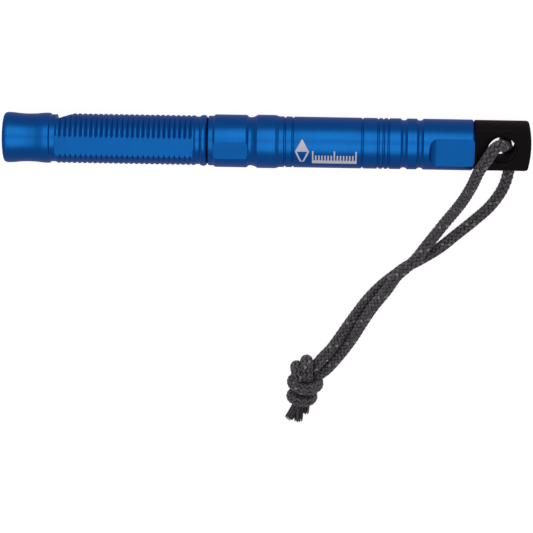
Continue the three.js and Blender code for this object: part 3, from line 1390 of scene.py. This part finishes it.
@dataclass
class RodHandle:
    """The moulded handle with its sealed spigot and lanyard hole, and the rod it holds."""

    start: float = 117.74
    radius: float = 6.3
    half_thickness: float = 3.36
    bow: float = 0.62  # how far the end bows out
    bow_radius: float = 5.35
    spigot_start: float = 108.3
    spigot: float = 3.9
    groove_floor: float = 3.2
    groove_half: float = 0.6
    grooves: tuple[float, float] = (111.2, 115.2)
    socket: float = 2.66  # the rod's hole
    socket_end: float = 118.5
    hole_x: float = 124.55
    hole: float = 3.5
    hole_break: float = 0.35
    edge_break: float = 0.1
    line_half: float = 0.09  # half the width of the mould's parting line
    line_proud: float = 0.035
    line_sunk: float = -0.1
    rod: float = 2.38
    rod_start: float = 65.5
    rod_end: float = 118.2
    rod_steps: int = 58
    rod_step: float = 0.9
    rod_wander: float = 0.03
    rod_seed: int = 7

    def profile(self) -> Profile:
        """Draw the handle before its flats are cut, from the rod's socket to the bowed end.

        Returns:
            Its points.
        """
        nose, wall, floor = self.spigot_start, self.spigot, self.groove_floor
        spigot = [(self.socket_end, 0.0), (self.socket_end, self.socket), (nose, self.socket)]
        spigot += [(nose, wall - 0.3), (nose + 0.3, wall)]
        for x in self.grooves:
            left, right = x - self.groove_half, x + self.groove_half
            spigot += [(left, wall), (left, floor), (right, floor), (right, wall)]
        spigot += [(self.start, wall), (self.start, self.radius - 0.12), (self.start + 0.12, self.radius)]
        corner = [(1.5, self.radius), (1.15, 6.24), (0.86, 6.05), (0.7, 5.75), (self.bow, self.bow_radius)]
        corner = flowing([(LENGTH - short, r) for short, r in corner], 4)
        rings = (4.8, 4.2, 3.5, 2.8, 2.0, 1.2, 0.6, 0.0)
        bow = [(LENGTH - self.bow * (r / self.bow_radius) ** 2, r) for r in rings]
        return soften(spigot, self.edge_break) + corner + bow

    def drill(self) -> bpy.types.Object:
        """Draw the lanyard hole with its rounded rims, as a body to cut with.

        Returns:
            The cutter.
        """
        half, flare = self.half_thickness, self.hole_break
        angles = [math.pi / 2 * i / 6 for i in range(7)]
        arc = [(flare * math.sin(a), flare * (1 - math.cos(a))) for a in angles]
        rim = [(half - flare + rise, self.hole + out) for rise, out in arc]
        wall = [(-z, r) for z, r in reversed(rim)] + rim
        outline = [(-half - 3, self.hole + flare), *wall, (half + 3, self.hole + flare)]
        sides = 96
        points, faces = [], []
        for height, radius in outline:
            for i in range(sides):
                angle = 2 * math.pi * i / sides
                x = MOUTH_X + (self.hole_x + radius * math.cos(angle)) * MM
                points.append((x, radius * math.sin(angle) * MM, AXIS_Z + height * MM))
        for ring in range(len(outline) - 1):
            for i in range(sides):
                a, b = ring * sides + i, ring * sides + (i + 1) % sides
                faces.append([a, b, b + sides, a + sides])
        faces.append(list(range(sides)))
        faces.append(list(range((len(outline) - 1) * sides, len(outline) * sides)))
        return mesh_object("drill", points, faces)

    def edge_cutters(self) -> list[bpy.types.Object]:
        """Draw the four cutters that break the plate's long edges.

        Returns:
            The cutters.
        """
        corner = math.degrees(math.acos(self.half_thickness / self.radius))
        lean = corner / 2
        height = self.radius * math.cos(math.radians(corner - lean)) - self.edge_break
        turns = [lean, -lean, 180 - lean, 180 + lean]
        outline = block(self.start - 0.05, LENGTH + 1, height, height + 3)
        return [prism("edge", outline, turn=turn) for turn in turns]

    def grip(self, nylon: bpy.types.Material) -> bpy.types.Object:
        """Build the moulded handle.

        Args:
            nylon: The moulded finish.

        Returns:
            The handle.
        """
        thing = turned("lanyard_handle", self.profile())
        half = self.half_thickness
        carve(
            thing,
            [
                prism("flat_above", block(self.start - 0.02, LENGTH + 1, half, half + 5)),
                prism("flat_below", block(self.start - 0.02, LENGTH + 1, -half - 5, -half)),
                *self.edge_cutters(),
                self.drill(),
            ],
        )
        return dress(smooth(thing), nylon, Body.HANDLE, ("rod_handle",))

    def parting_line(self, nylon: bpy.types.Material) -> bpy.types.Object:
        """Build the faint flash line where the mould's halves met, round the plate's edge.

        Args:
            nylon: The moulded finish.

        Returns:
            The line.
        """
        outside = [point for point in self.profile() if point[0] > self.start + 0.15]
        path = outside + [(x, -r) for x, r in reversed(outside[:-1])]
        sunk, half = self.line_sunk, self.line_half
        section = ((sunk, -half), (self.line_proud, 0.0), (sunk, half))
        points = []
        for i, (x, y) in enumerate(path):
            x0, y0 = path[max(i - 1, 0)]
            x1, y1 = path[min(i + 1, len(path) - 1)]
            out = Vector((-(y1 - y0), x1 - x0)).normalized()
            for rise, z in section:
                px, py = x + out.x * rise, y + out.y * rise
                points.append((MOUTH_X + px * MM, py * MM, AXIS_Z + z * MM))
        return dress(smooth(three_sided("parting_line", points)), nylon, Body.HANDLE)

    def fire_rod(self, ferro: bpy.types.Material) -> bpy.types.Object:
        """Build the rod, with a rounded end and a little runout along its skin.

        Args:
            ferro: The rod's finish.

        Returns:
            The rod.
        """
        wander = random.Random(self.rod_seed)
        first = self.rod_start
        skin = [
            (first + 0.6 + self.rod_step * i, self.rod - self.rod_wander * wander.random())
            for i in range(self.rod_steps)
        ]
        end = flowing([(first, 0.0), (first, 1.9), (first + 0.18, 2.25), (first + 0.5, 2.36)], 3)
        thing = turned("fire_rod", end + skin + [(self.rod_end, 2.35), (self.rod_end, 0.0)], 64)
        return dress(smooth(thing, angle=40), ferro, Body.HANDLE, ("ferro_rod",))

    def build(
        self, nylon: bpy.types.Material, ferro: bpy.types.Material, rubber: bpy.types.Material
    ) -> None:
        """Build every piece of the handle.

        Args:
            nylon: The moulded finish.
            ferro: The rod's finish.
            rubber: The seal rings' finish.
        """
        self.grip(nylon)
        self.parting_line(nylon)
        self.fire_rod(ferro)
        for i, x in enumerate(self.grooves, 1):
            ring = SealRing(
                f"rod_seal_{i}", f"spigot_ring_{i}", Body.ROD_SEALS,
                x=x, centre=3.68, half_length=0.44, half_height=0.42,
            )
            ring.build(rubber)


# ---------------------------------------------------------------- lanyard


class Way(Enum):
    """Which way a yarn winds round the cord."""

    CLOCKWISE = 1
    COUNTER = -1


class Yarn(Enum):
    """The cord's finishes, by the number of their material."""

    PLAIN = 0
    TRACER = 1
    # the core, drawn near black so that the gaps between yarns show painted shade
    CORE = 2
    # a darker copy of the plain yarn: painted shade where a braid's yarn dips under the next, and a darker
    # filament at random in a frayed end
    SHADED = 3


def yarn_object(
    name: str, points: list[np.ndarray], faces: list, finish: list[int], yarns: list[bpy.types.Material]
) -> bpy.types.Object:
    """Make an object from skinned yarns or filaments.

    Args:
        name: The object's name.
        points: Points in metres in the row frame, an array for each skin.
        faces: Lists of point numbers.
        finish: Each face's material number.
        yarns: The cord's finishes, in the order of Yarn.

    Returns:
        The new object.
    """
    mesh = bpy.data.meshes.new(name)
    mesh.from_pydata(np.concatenate(points).tolist(), [], faces)
    mesh.polygons.foreach_set("material_index", finish)
    mesh.shade_smooth()
    thing = bpy.data.objects.new(name, mesh)
    bpy.context.scene.collection.objects.link(thing)
    for yarn in yarns:
        mesh.materials.append(yarn)
    return thing


@dataclass
class BraidedCord:
    """A round diamond braid over a core, laid along a route; the core is drawn near black, as painted shade
    in the gaps between yarns.
    """

    diameter: float = 3.05
    lay: float = 8.4  # one full turn of a yarn
    yarns: int = 6  # each way
    yarn_width: float = 0.88
    yarn_thickness: float = 0.44
    yarn_sides: int = 6
    yarn_fill: float = 1.1  # how much larger the six-sided section is drawn, to fill its oval
    weave: float = 0.14  # how far a yarn dips under the next
    samples: int = 44  # per turn
    fineness: int = 24  # points first drawn between two of the route's
    core: float = 0.9
    core_sides: int = 12
    core_step: int = 4
    dip: float = 0.0  # a yarn this far down in its weave takes the darker shaded yarn, as painted shade
    tracer: int = 2  # the number of the clockwise yarn that is reflective

    def centreline(self, route: Route) -> np.ndarray:
        """Run a smooth curve through the route, with even steps.

        Args:
            route: Points in millimetres, in the row frame.

        Returns:
            The curve's points, one per row.
        """
        given = np.array(route, float)
        stops = np.concatenate([[0], np.cumsum(np.linalg.norm(np.diff(given, axis=0), axis=1) ** 0.5)])
        before = given[0] * 2 - given[1]
        after = given[-1] * 2 - given[-2]
        points = np.vstack([before, given, after])
        times = np.concatenate([[stops[0] - (stops[1] - stops[0])], stops, [stops[-1] * 2 - stops[-2]]])
        fine = []
        for i in range(1, len(points) - 2):
            for t in np.linspace(times[i], times[i + 1], self.fineness, endpoint=False):
                fine.append(self.between(points[i - 1 : i + 3], times[i - 1 : i + 3], t))
        fine.append(given[-1])
        fine = np.array(fine)
        along = np.concatenate([[0], np.cumsum(np.linalg.norm(np.diff(fine, axis=0), axis=1))])
        count = max(4, round(along[-1] / (self.lay / self.samples)))
        even = np.linspace(0, along[-1], count + 1)
        return np.stack([np.interp(even, along, fine[:, k]) for k in range(3)], axis=1)

    @staticmethod
    def between(p: np.ndarray, t: np.ndarray, at_time: float) -> np.ndarray:
        """Find a point of a centripetal Catmull-Rom curve.

        Args:
            p: Four points.
            t: Their times.
            at_time: A time between the second and the third.

        Returns:
            The point.
        """

        def mix(a: np.ndarray, b: np.ndarray, ta: float, tb: float) -> np.ndarray:
            """Mix two points, given their times, at the wanted time."""
            return ((tb - at_time) * a + (at_time - ta) * b) / (tb - ta)

        a1, a2, a3 = (mix(p[i], p[i + 1], t[i], t[i + 1]) for i in range(3))
        b1, b2 = mix(a1, a2, t[0], t[2]), mix(a2, a3, t[1], t[3])
        return mix(b1, b2, t[1], t[2])

    @staticmethod
    def frames(line: np.ndarray) -> tuple[np.ndarray, np.ndarray, np.ndarray]:
        """Carry a frame along a line without twist.

        Args:
            line: The centreline.

        Returns:
            The tangents and two normals at each point.
        """
        tangents = np.gradient(line, axis=0)
        tangents /= np.linalg.norm(tangents, axis=1, keepdims=True)
        normals = np.zeros_like(line)
        first = np.cross(tangents[0], SIDEWAYS)
        normals[0] = first / np.linalg.norm(first)
        for i in range(1, len(line)):
            carried = normals[i - 1] - tangents[i] * np.dot(normals[i - 1], tangents[i])
            normals[i] = carried / np.linalg.norm(carried)
        return tangents, normals, np.cross(tangents, normals)

    def yarn(
        self, line: np.ndarray, frames: tuple[np.ndarray, np.ndarray, np.ndarray], way: Way, number: int
    ) -> np.ndarray:
        """Build the rings of one yarn.

        Args:
            line: The cord's centreline.
            frames: Its tangents and normals.
            way: Which way the yarn winds.
            number: Which of the yarns of that way it is.

        Returns:
            An array of rings, each of yarn_sides points.
        """
        tangents, normals, binormals = frames
        step = np.linalg.norm(line[1] - line[0])
        turn = 2 * math.pi * np.arange(len(line)) * step / self.lay
        angle = way.value * turn + 2 * math.pi * number / self.yarns
        middle = self.diameter / 2 - self.yarn_thickness / 2 - self.weave
        radius = middle + way.value * self.weave * np.cos(self.yarns * turn)
        outward = normals * np.cos(angle)[:, None] + binormals * np.sin(angle)[:, None]
        around = -normals * np.sin(angle)[:, None] + binormals * np.cos(angle)[:, None]
        run = tangents + around * (way.value * 2 * math.pi * middle / self.lay)
        run /= np.linalg.norm(run, axis=1, keepdims=True)
        across = np.cross(outward, run)
        centre = line + outward * radius[:, None]
        rings = []
        for k in range(self.yarn_sides):
            a = math.pi * (k + 0.5) / (self.yarn_sides / 2)
            wide = self.yarn_width / 2 * math.cos(a) * self.yarn_fill
            high = self.yarn_thickness / 2 * math.sin(a) * self.yarn_fill
            rings.append(centre + across * wide + outward * high)
        return np.stack(rings, axis=1)

    def shades(self, count: int, way: Way, own: Yarn) -> list[int]:
        """Say which finish each step of a yarn takes: its own, or the darker shaded one where it dips under
        the next yarn, as painted shade.

        Args:
            count: How many rings the yarn has.
            way: Which way it winds.
            own: Its own finish.

        Returns:
            A material number for each step.
        """
        turn = 2 * math.pi * np.arange(count) / self.samples
        dips = [way.value * math.cos(self.yarns * t) < self.dip for t in turn]
        return [(Yarn.SHADED if dipped else own).value for dipped in dips]

    def core_rings(self, line: np.ndarray, frames: tuple[np.ndarray, np.ndarray, np.ndarray]) -> np.ndarray:
        """Build the rings of the core, drawn near black as painted shade in the gaps, a few steps apart.

        Args:
            line: The cord's centreline.
            frames: Its tangents and normals.

        Returns:
            An array of rings, each of core_sides points.
        """
        _, normals, binormals = frames
        angles = [2 * math.pi * k / self.core_sides for k in range(self.core_sides)]
        ring = [line + self.core * (normals * math.cos(a) + binormals * math.sin(a)) for a in angles]
        stacked = np.stack(ring, axis=1)
        keep = sorted({*range(0, len(line), self.core_step), len(line) - 1})
        return stacked[keep]

    def mesh(self, name: str, routes: list[Route], yarns: list[bpy.types.Material]) -> bpy.types.Object:
        """Lay the braid along one or more routes, as one mesh.

        Args:
            name: The object's name.
            routes: The routes, in millimetres in the row frame.
            yarns: The cord's finishes, in the order of Yarn.

        Returns:
            The cord.
        """
        points, faces, finish = [], [], []
        for route in routes:
            line = self.centreline(route)
            frames = self.frames(line)
            for way in Way:
                for number in range(self.yarns):
                    traced = way is Way.CLOCKWISE and number == self.tracer
                    shades = self.shades(len(line), way, Yarn.TRACER if traced else Yarn.PLAIN)
                    self.skin(points, faces, finish, self.yarn(line, frames, way, number), shades)
            core = self.core_rings(line, frames)
            self.skin(points, faces, finish, core, [Yarn.CORE.value] * len(core))
        return yarn_object(name, points, faces, finish, yarns)

    @staticmethod
    def skin(points: list, faces: list, finish: list, rings: np.ndarray, slots: list[int]) -> None:
        """Join rings into a closed tube.

        Args:
            points: The mesh's points so far, as arrays.
            faces: The mesh's faces so far.
            finish: Each face's material number so far.
            rings: The tube's rings, in millimetres.
            slots: The material number of each step, as many as there are rings.
        """
        first = sum(len(p) for p in points)
        count, sides = rings.shape[:2]
        points.append(rings.reshape(-1, 3) * MM)
        for i in range(count - 1):
            for k in range(sides):
                a, b = first + i * sides + k, first + i * sides + (k + 1) % sides
                faces.append([a, b, b + sides, a + sides])
                finish.append(slots[i])
        faces.append([first + k for k in reversed(range(sides))])
        faces.append([first + (count - 1) * sides + k for k in range(sides)])
        finish += [slots[0], slots[-1]]


@dataclass
class FrayedEnd:
    """The cut end of a cord, teased into a short brush of filaments."""

    name: str
    node: str
    root: tuple[float, float, float]
    tips: tuple[tuple[float, float, float], ...]
    filaments: int
    spread: float
    root_spread: float = 1.15
    thickness: float = 0.17  # several filaments clung together, so that they show
    taper: float = 0.45
    steps: int = 6
    corners: tuple[float, ...] = (0.5, 2.1, 3.7, 5.3)  # of a filament's section, in radians
    table: float = 0.15  # the least height of a tip
    bow: float = 0.28
    seed: int = 3

    def build(self, yarns: list[bpy.types.Material]) -> bpy.types.Object:
        """Build the brush.

        Args:
            yarns: The cord's finishes, in the order of Yarn.

        Returns:
            The brush.
        """
        pick = random.Random(self.seed)
        points, faces, finish = [], [], []
        root = Vector(self.root)
        for i in range(self.filaments):
            tip = Vector(self.tips[i % len(self.tips)])
            along = (tip - root).normalized()
            side = along.cross(Vector((0, 0, 1))).normalized()
            up = side.cross(along)
            a, b = pick.uniform(0, 2 * math.pi), pick.random() ** 0.5
            start = root + (side * math.cos(a) + up * math.sin(a)) * self.root_spread * b
            end = tip + (side * math.cos(a) + up * math.sin(a) * 0.6) * self.spread * b
            end += along * pick.uniform(-0.9, 0.25)
            end.z = max(end.z, self.table)
            bend = (start + end) / 2 + (side * pick.uniform(-1, 1) + up * pick.uniform(-0.3, 0.8)) * self.bow
            rings = []
            for k in range(self.steps):
                t = k / (self.steps - 1)
                centre = start * (1 - t) ** 2 + bend * (2 * t * (1 - t)) + end * t**2
                centre.z = max(centre.z, self.thickness)
                size = self.thickness * (1.0 - self.taper * t)
                ring = [centre + (side * math.cos(q) + up * math.sin(q)) * size for q in self.corners]
                rings.append([tuple(v) for v in ring])
            # filaments take the plain, tracer or darker yarn at random
            shade = pick.choices((Yarn.PLAIN, Yarn.TRACER, Yarn.SHADED), (0.6, 0.08, 0.32))[0].value
            BraidedCord.skin(points, faces, finish, np.array(rings), [shade] * len(rings))
        thing = yarn_object(self.name, points, faces, finish, yarns)
        return dress(thing, yarns[0], Body.HANDLE, (self.node,))


@dataclass
class Lanyard:
    """A 3 mm accessory cord, doubled through the handle's hole and tied to itself in one knot.

    Each strand's route is the CAD's, from the middle of the hole to the knot. In the knot the
    cord is pulled tight, so it is spread wider there and its braid lies closer.
    """

    front: tuple = (
        (59.35, 0.75, 7.4), (59.3, 0.9, 8.5), (58.75, 1.3, 10.0), (57.75, 1.95, 11.3),
        (56.4, 1.3, 12.3), (55.28, -0.36, 12.8), (54.09, -2.39, 12.9), (53.1, -4.24, 12.6),
        (52.35, -6.41, 11.9), (51.72, -8.93, 10.5), (50.74, -12.09, 8.6), (49.55, -15.25, 6.9),
        (47.64, -19.61, 4.1), (45.71, -23.21, 2.3), (43.5, -26.53, 2.1), (40.84, -29.68, 3.5),
        (37.9, -33.23, 4.9), (35.69, -35.29, 5.2), (33.53, -37.59, 5.1), (31.12, -41.84, 4.6),
        (29.29, -44.67, 4.2), (27.68, -47.16, 3.9), (24.9, -52.19, 3.5), (22.2, -57.9, 2.1),
        (19.07, -62.72, 2.0), (15.75, -66.55, 2.8), (12.36, -68.76, 3.8),
    )
    rear: tuple = (
        (59.4, 0.7, 7.1), (59.45, 0.75, 5.6), (59.6, 0.25, 3.85), (60.1, -1.45, 2.1),
        (60.7, -4.1, 1.45), (61.12, -6.91, 1.47), (61.0, -9.67, 1.47), (59.85, -13.99, 1.47),
        (56.9, -18.93, 1.47), (52.99, -23.05, 1.47), (48.77, -26.99, 1.47), (44.38, -31.05, 1.47),
        (39.5, -34.48, 1.47), (35.8, -36.76, 1.47), (33.44, -38.75, 1.47), (29.67, -42.19, 1.47),
        (26.08, -46.48, 1.47), (23.11, -50.98, 1.47), (19.91, -56.11, 1.7), (17.07, -60.35, 2.4),
        (14.25, -63.33, 3.3), (12.07, -66.42, 4.0),
    )
    hole_middle: tuple = (59.38, 0.72, 7.25)
    diameter: float = 0.0028  # of the cord as it is declared, in metres
    knot_diameter: float = 3.4
    knot_yarns: int = 8
    knot_weave: float = 0.12
    knot_centre: tuple = (10.5, -69.8, 4.3)
    knot_turn: float = -26.0
    # The knot's turns, in its own frame: along it towards the strands, across it, and up.
    loops: tuple = (
        (
            (0.9, -0.7, -2.4), (4.1, -2.1, -2.0), (5.6, -2.7, -0.6), (5.5, -2.55, 1.0),
            (4.2, -1.95, 2.2), (2.7, -1.15, 1.8), (1.3, -0.45, 0.7), (-0.2, 0.1, -0.5),
        ),
        (
            (0.0, -2.2, -2.2), (1.9, -3.7, -1.8), (2.95, -4.35, -0.3), (2.8, -4.1, 1.1),
            (1.95, -3.4, 1.8), (0.75, -2.45, 1.2), (-0.35, -1.6, 0.2), (-1.2, -1.2, -0.6),
        ),
        (
            (0.8, 1.2, -2.3), (1.15, 2.55, -0.9), (0.95, 2.55, 1.0), (0.3, 1.4, 2.6),
            (-0.35, -0.1, 3.05), (-0.85, -1.75, 2.6), (-1.15, -3.1, 1.0), (-1.15, -3.1, -0.8),
            (-0.7, -1.6, -2.3), (0.1, 0.2, -2.6),
        ),
        (
            (-2.9, 1.9, -2.2), (-3.2, 3.05, -0.9), (-3.5, 2.9, 0.8), (-4.05, 1.7, 2.0),
            (-4.5, 0.4, 2.1), (-5.0, -0.8, 1.3), (-5.25, -1.4, 0.1), (-5.0, -1.2, -1.2),
            (-4.2, -0.1, -2.4), (-3.4, 1.1, -2.5),
        ),
    )

    def in_knot(self, a: float, c: float, w: float) -> tuple[float, float, float]:
        """Turn a point of the knot's own frame to the row frame, in millimetres.

        Args:
            a: Along the knot, towards the strands.
            c: Across it.
            w: Up.

        Returns:
            The point.
        """
        sine, cosine = math.sin(math.radians(self.knot_turn)), math.cos(math.radians(self.knot_turn))
        x, y, z = self.knot_centre
        return (x - a * sine + c * cosine, y + a * cosine + c * sine, z + w)

    def build(self, yarns: list[bpy.types.Material]) -> None:
        """Args:
            yarns: The cord's finishes, in the order of Yarn.
        """
        braid = BraidedCord()
        loops = [[self.in_knot(*point) for point in loop] for loop in self.loops]
        tight = BraidedCord(diameter=self.knot_diameter, yarns=self.knot_yarns, weave=self.knot_weave)
        knot = tight.mesh("knot_turns", loops, yarns)
        ends = [
            FrayedEnd(
                "frayed_end_long", "cord_front_tail", root=(8.7, -75.9, 3.1),
                tips=((5.95, -82.4, 1.3), (8.5, -82.8, 1.6)), filaments=200, spread=1.2,
            ),
            FrayedEnd(
                "frayed_end_short", "cord_rear_tail", root=(10.3, -75.9, 3.4),
                tips=((10.55, -80.1, 2.2),), filaments=60, spread=0.8, seed=11,
            ),
        ]
        dress(knot, yarns[0], Body.HANDLE, ("lanyard_knot",))
        brushes = [end.build(yarns) for end in ends]
        for name, node, route, pieces in (
            ("front_strand", "cord_front_strand", self.front, [knot, *brushes]),
            ("rear_strand", "cord_rear_strand", self.rear, []),
        ):
            points = [self.hole_middle, *route[1:]]
            strand = braid.mesh(name, [points], yarns)
            dress(strand, yarns[0], Body.HANDLE, (node,))
            line = braid.centreline(points) * MM


# ---------------------------------------------------------------- studio


@dataclass
class Studio:
    """The lit table, the two softboxes, their dim surround and the long-lens camera."""

    lean: float = 25.9  # degrees that the camera stands off straight above, towards +Y
    swing: float = 1.8  # degrees that it stands off towards the handle
    roll: float = 1.08  # degrees that it is turned about its own line
    distance: float = 0.6
    focal: float = 161.74
    sensor: float = 36.0
    nearest: float = 0.01
    look_x: float = 65.87  # the point of the axis above the picture's middle, from the mouth end
    look_below: float = 31.33  # how far below the axis the picture's middle is, in millimetres
    light_distance: float = 1.3
    light_length: float = 0.92  # along the tool
    light_inner: float = 0.1  # from the camera's line to each box's near edge
    light_outer: float = 1.4  # to its far edge
    light_level: float = 1.2
    surround: float = 0.42
    surround_tint: str = "FBDEFF"
    floor_half: float = 3.0
    floor_drop: float = 0.15 * MM  # how far the table's top lies below the tool

    def axes(self) -> tuple[Vector, Vector, Vector]:
        """Find the camera's right, up and back directions.

        Returns:
            Three unit vectors.
        """
        swing, lean, roll = (math.radians(a) for a in (self.swing, self.lean, self.roll))
        back = Vector((math.sin(swing), math.cos(swing) * math.sin(lean), math.cos(swing) * math.cos(lean)))
        level = (Vector((1, 0, 0)) - back * back.x).normalized()
        upright = back.cross(level)
        right = level * math.cos(roll) + upright * math.sin(roll)
        return right, back.cross(right), back

    def place_camera(self) -> None:
        """Set up the camera."""
        right, up, back = self.axes()
        target = Vector((MOUTH_X + self.look_x * MM, 0, AXIS_Z)) - up * self.look_below * MM
        lens = bpy.data.cameras.new("studio_camera")
        lens.lens = self.focal
        lens.sensor_width = self.sensor
        lens.clip_start = self.nearest
        camera = bpy.data.objects.new("studio_camera", lens)
        bpy.context.scene.collection.objects.link(camera)
        spin = Matrix((right, up, back)).transposed().to_4x4()
        camera.matrix_world = Matrix.Translation(target + back * self.distance) @ spin
        bpy.context.scene.camera = camera

    def light(self) -> None:
        """Hang a softbox on each side of the camera and set the dim surround."""
        _, up, back = self.axes()
        width = self.light_outer - self.light_inner
        for name, side in (("far_softbox", 1), ("near_softbox", -1)):
            lamp = bpy.data.lights.new(name, "AREA")
            lamp.shape = "RECTANGLE"
            lamp.size, lamp.size_y = self.light_length, width
            lamp.energy = self.light_level * math.pi * self.light_length * width
            softbox = bpy.data.objects.new(name, lamp)
            bpy.context.scene.collection.objects.link(softbox)
            middle = Vector((0.0, 0.0, AXIS_Z)) + back * self.light_distance
            middle += up * side * (self.light_outer + self.light_inner) / 2
            right = up.cross(back)
            spin = Matrix((right, up, back)).transposed().to_4x4()
            softbox.matrix_world = Matrix.Translation(middle) @ spin
            softbox.visible_camera = False
        world = bpy.data.worlds.new("studio_surround")
        world.use_nodes = True
        background = world.node_tree.nodes["Background"]
        background.inputs["Color"].default_value = linear(self.surround_tint)
        background.inputs["Strength"].default_value = self.surround
        bpy.context.scene.world = world

    def lay_floor(self) -> None:
        """Lay the lit table just under the tool."""
        half, low = self.floor_half, -self.floor_drop
        corners = [(-half, -half, low), (half, -half, low), (half, half, low), (-half, half, low)]
        floor = mesh_object("studio_floor", corners, [[0, 1, 2, 3]])
        floor.data.materials.append(PaleFloor().material())
        floor.visible_glossy = False

    def build(self) -> None:
        """Set up everything that isn't the tool."""
        self.place_camera()
        self.light()
        self.lay_floor()
        bpy.context.scene.view_settings.view_transform = "Standard"


def main() -> None:
    """Build the scene: camera and cord first, then the tool's pieces."""
    logging.basicConfig(level=logging.INFO, format="%(message)s")
    Studio().build()
    yarns = [
        BraidedPolyester("charcoal polyester yarn", "3D403E", "6B6E6A").material(),
        BraidedPolyester("reflective tracer yarn", "555754", "A0A29C", roughness=0.6).material(),
        # the real core, drawn near black as painted shade in the gaps between yarns
        BraidedPolyester("core yarn painted as gap shade", "060606", "0B0B0B").material(),
        # the darker yarn: painted shade where the braid's yarns dip, and random darker filaments in the
        # frayed ends
        BraidedPolyester("shaded charcoal yarn", "151715", "272927").material(),
    ]
    Lanyard().build(yarns)
    blue = AnodisedAluminium().material()
    nylon = MouldedNylon().material()
    rubber = NitrileRubber().material()
    Whistle().build(blue, nylon, GroundSteel().material())
    FireTube().build(blue, LaserEtch().material())
    RodHandle().build(nylon, CastFerrocerium().material(), rubber)
    seam = SealRing(
        "seam_seal", "seam_ring", Body.SEAL, x=50.93, centre=5.46, half_length=0.2, half_height=0.44
    )
    seam.build(rubber)


if __name__ == "__main__":
    main()
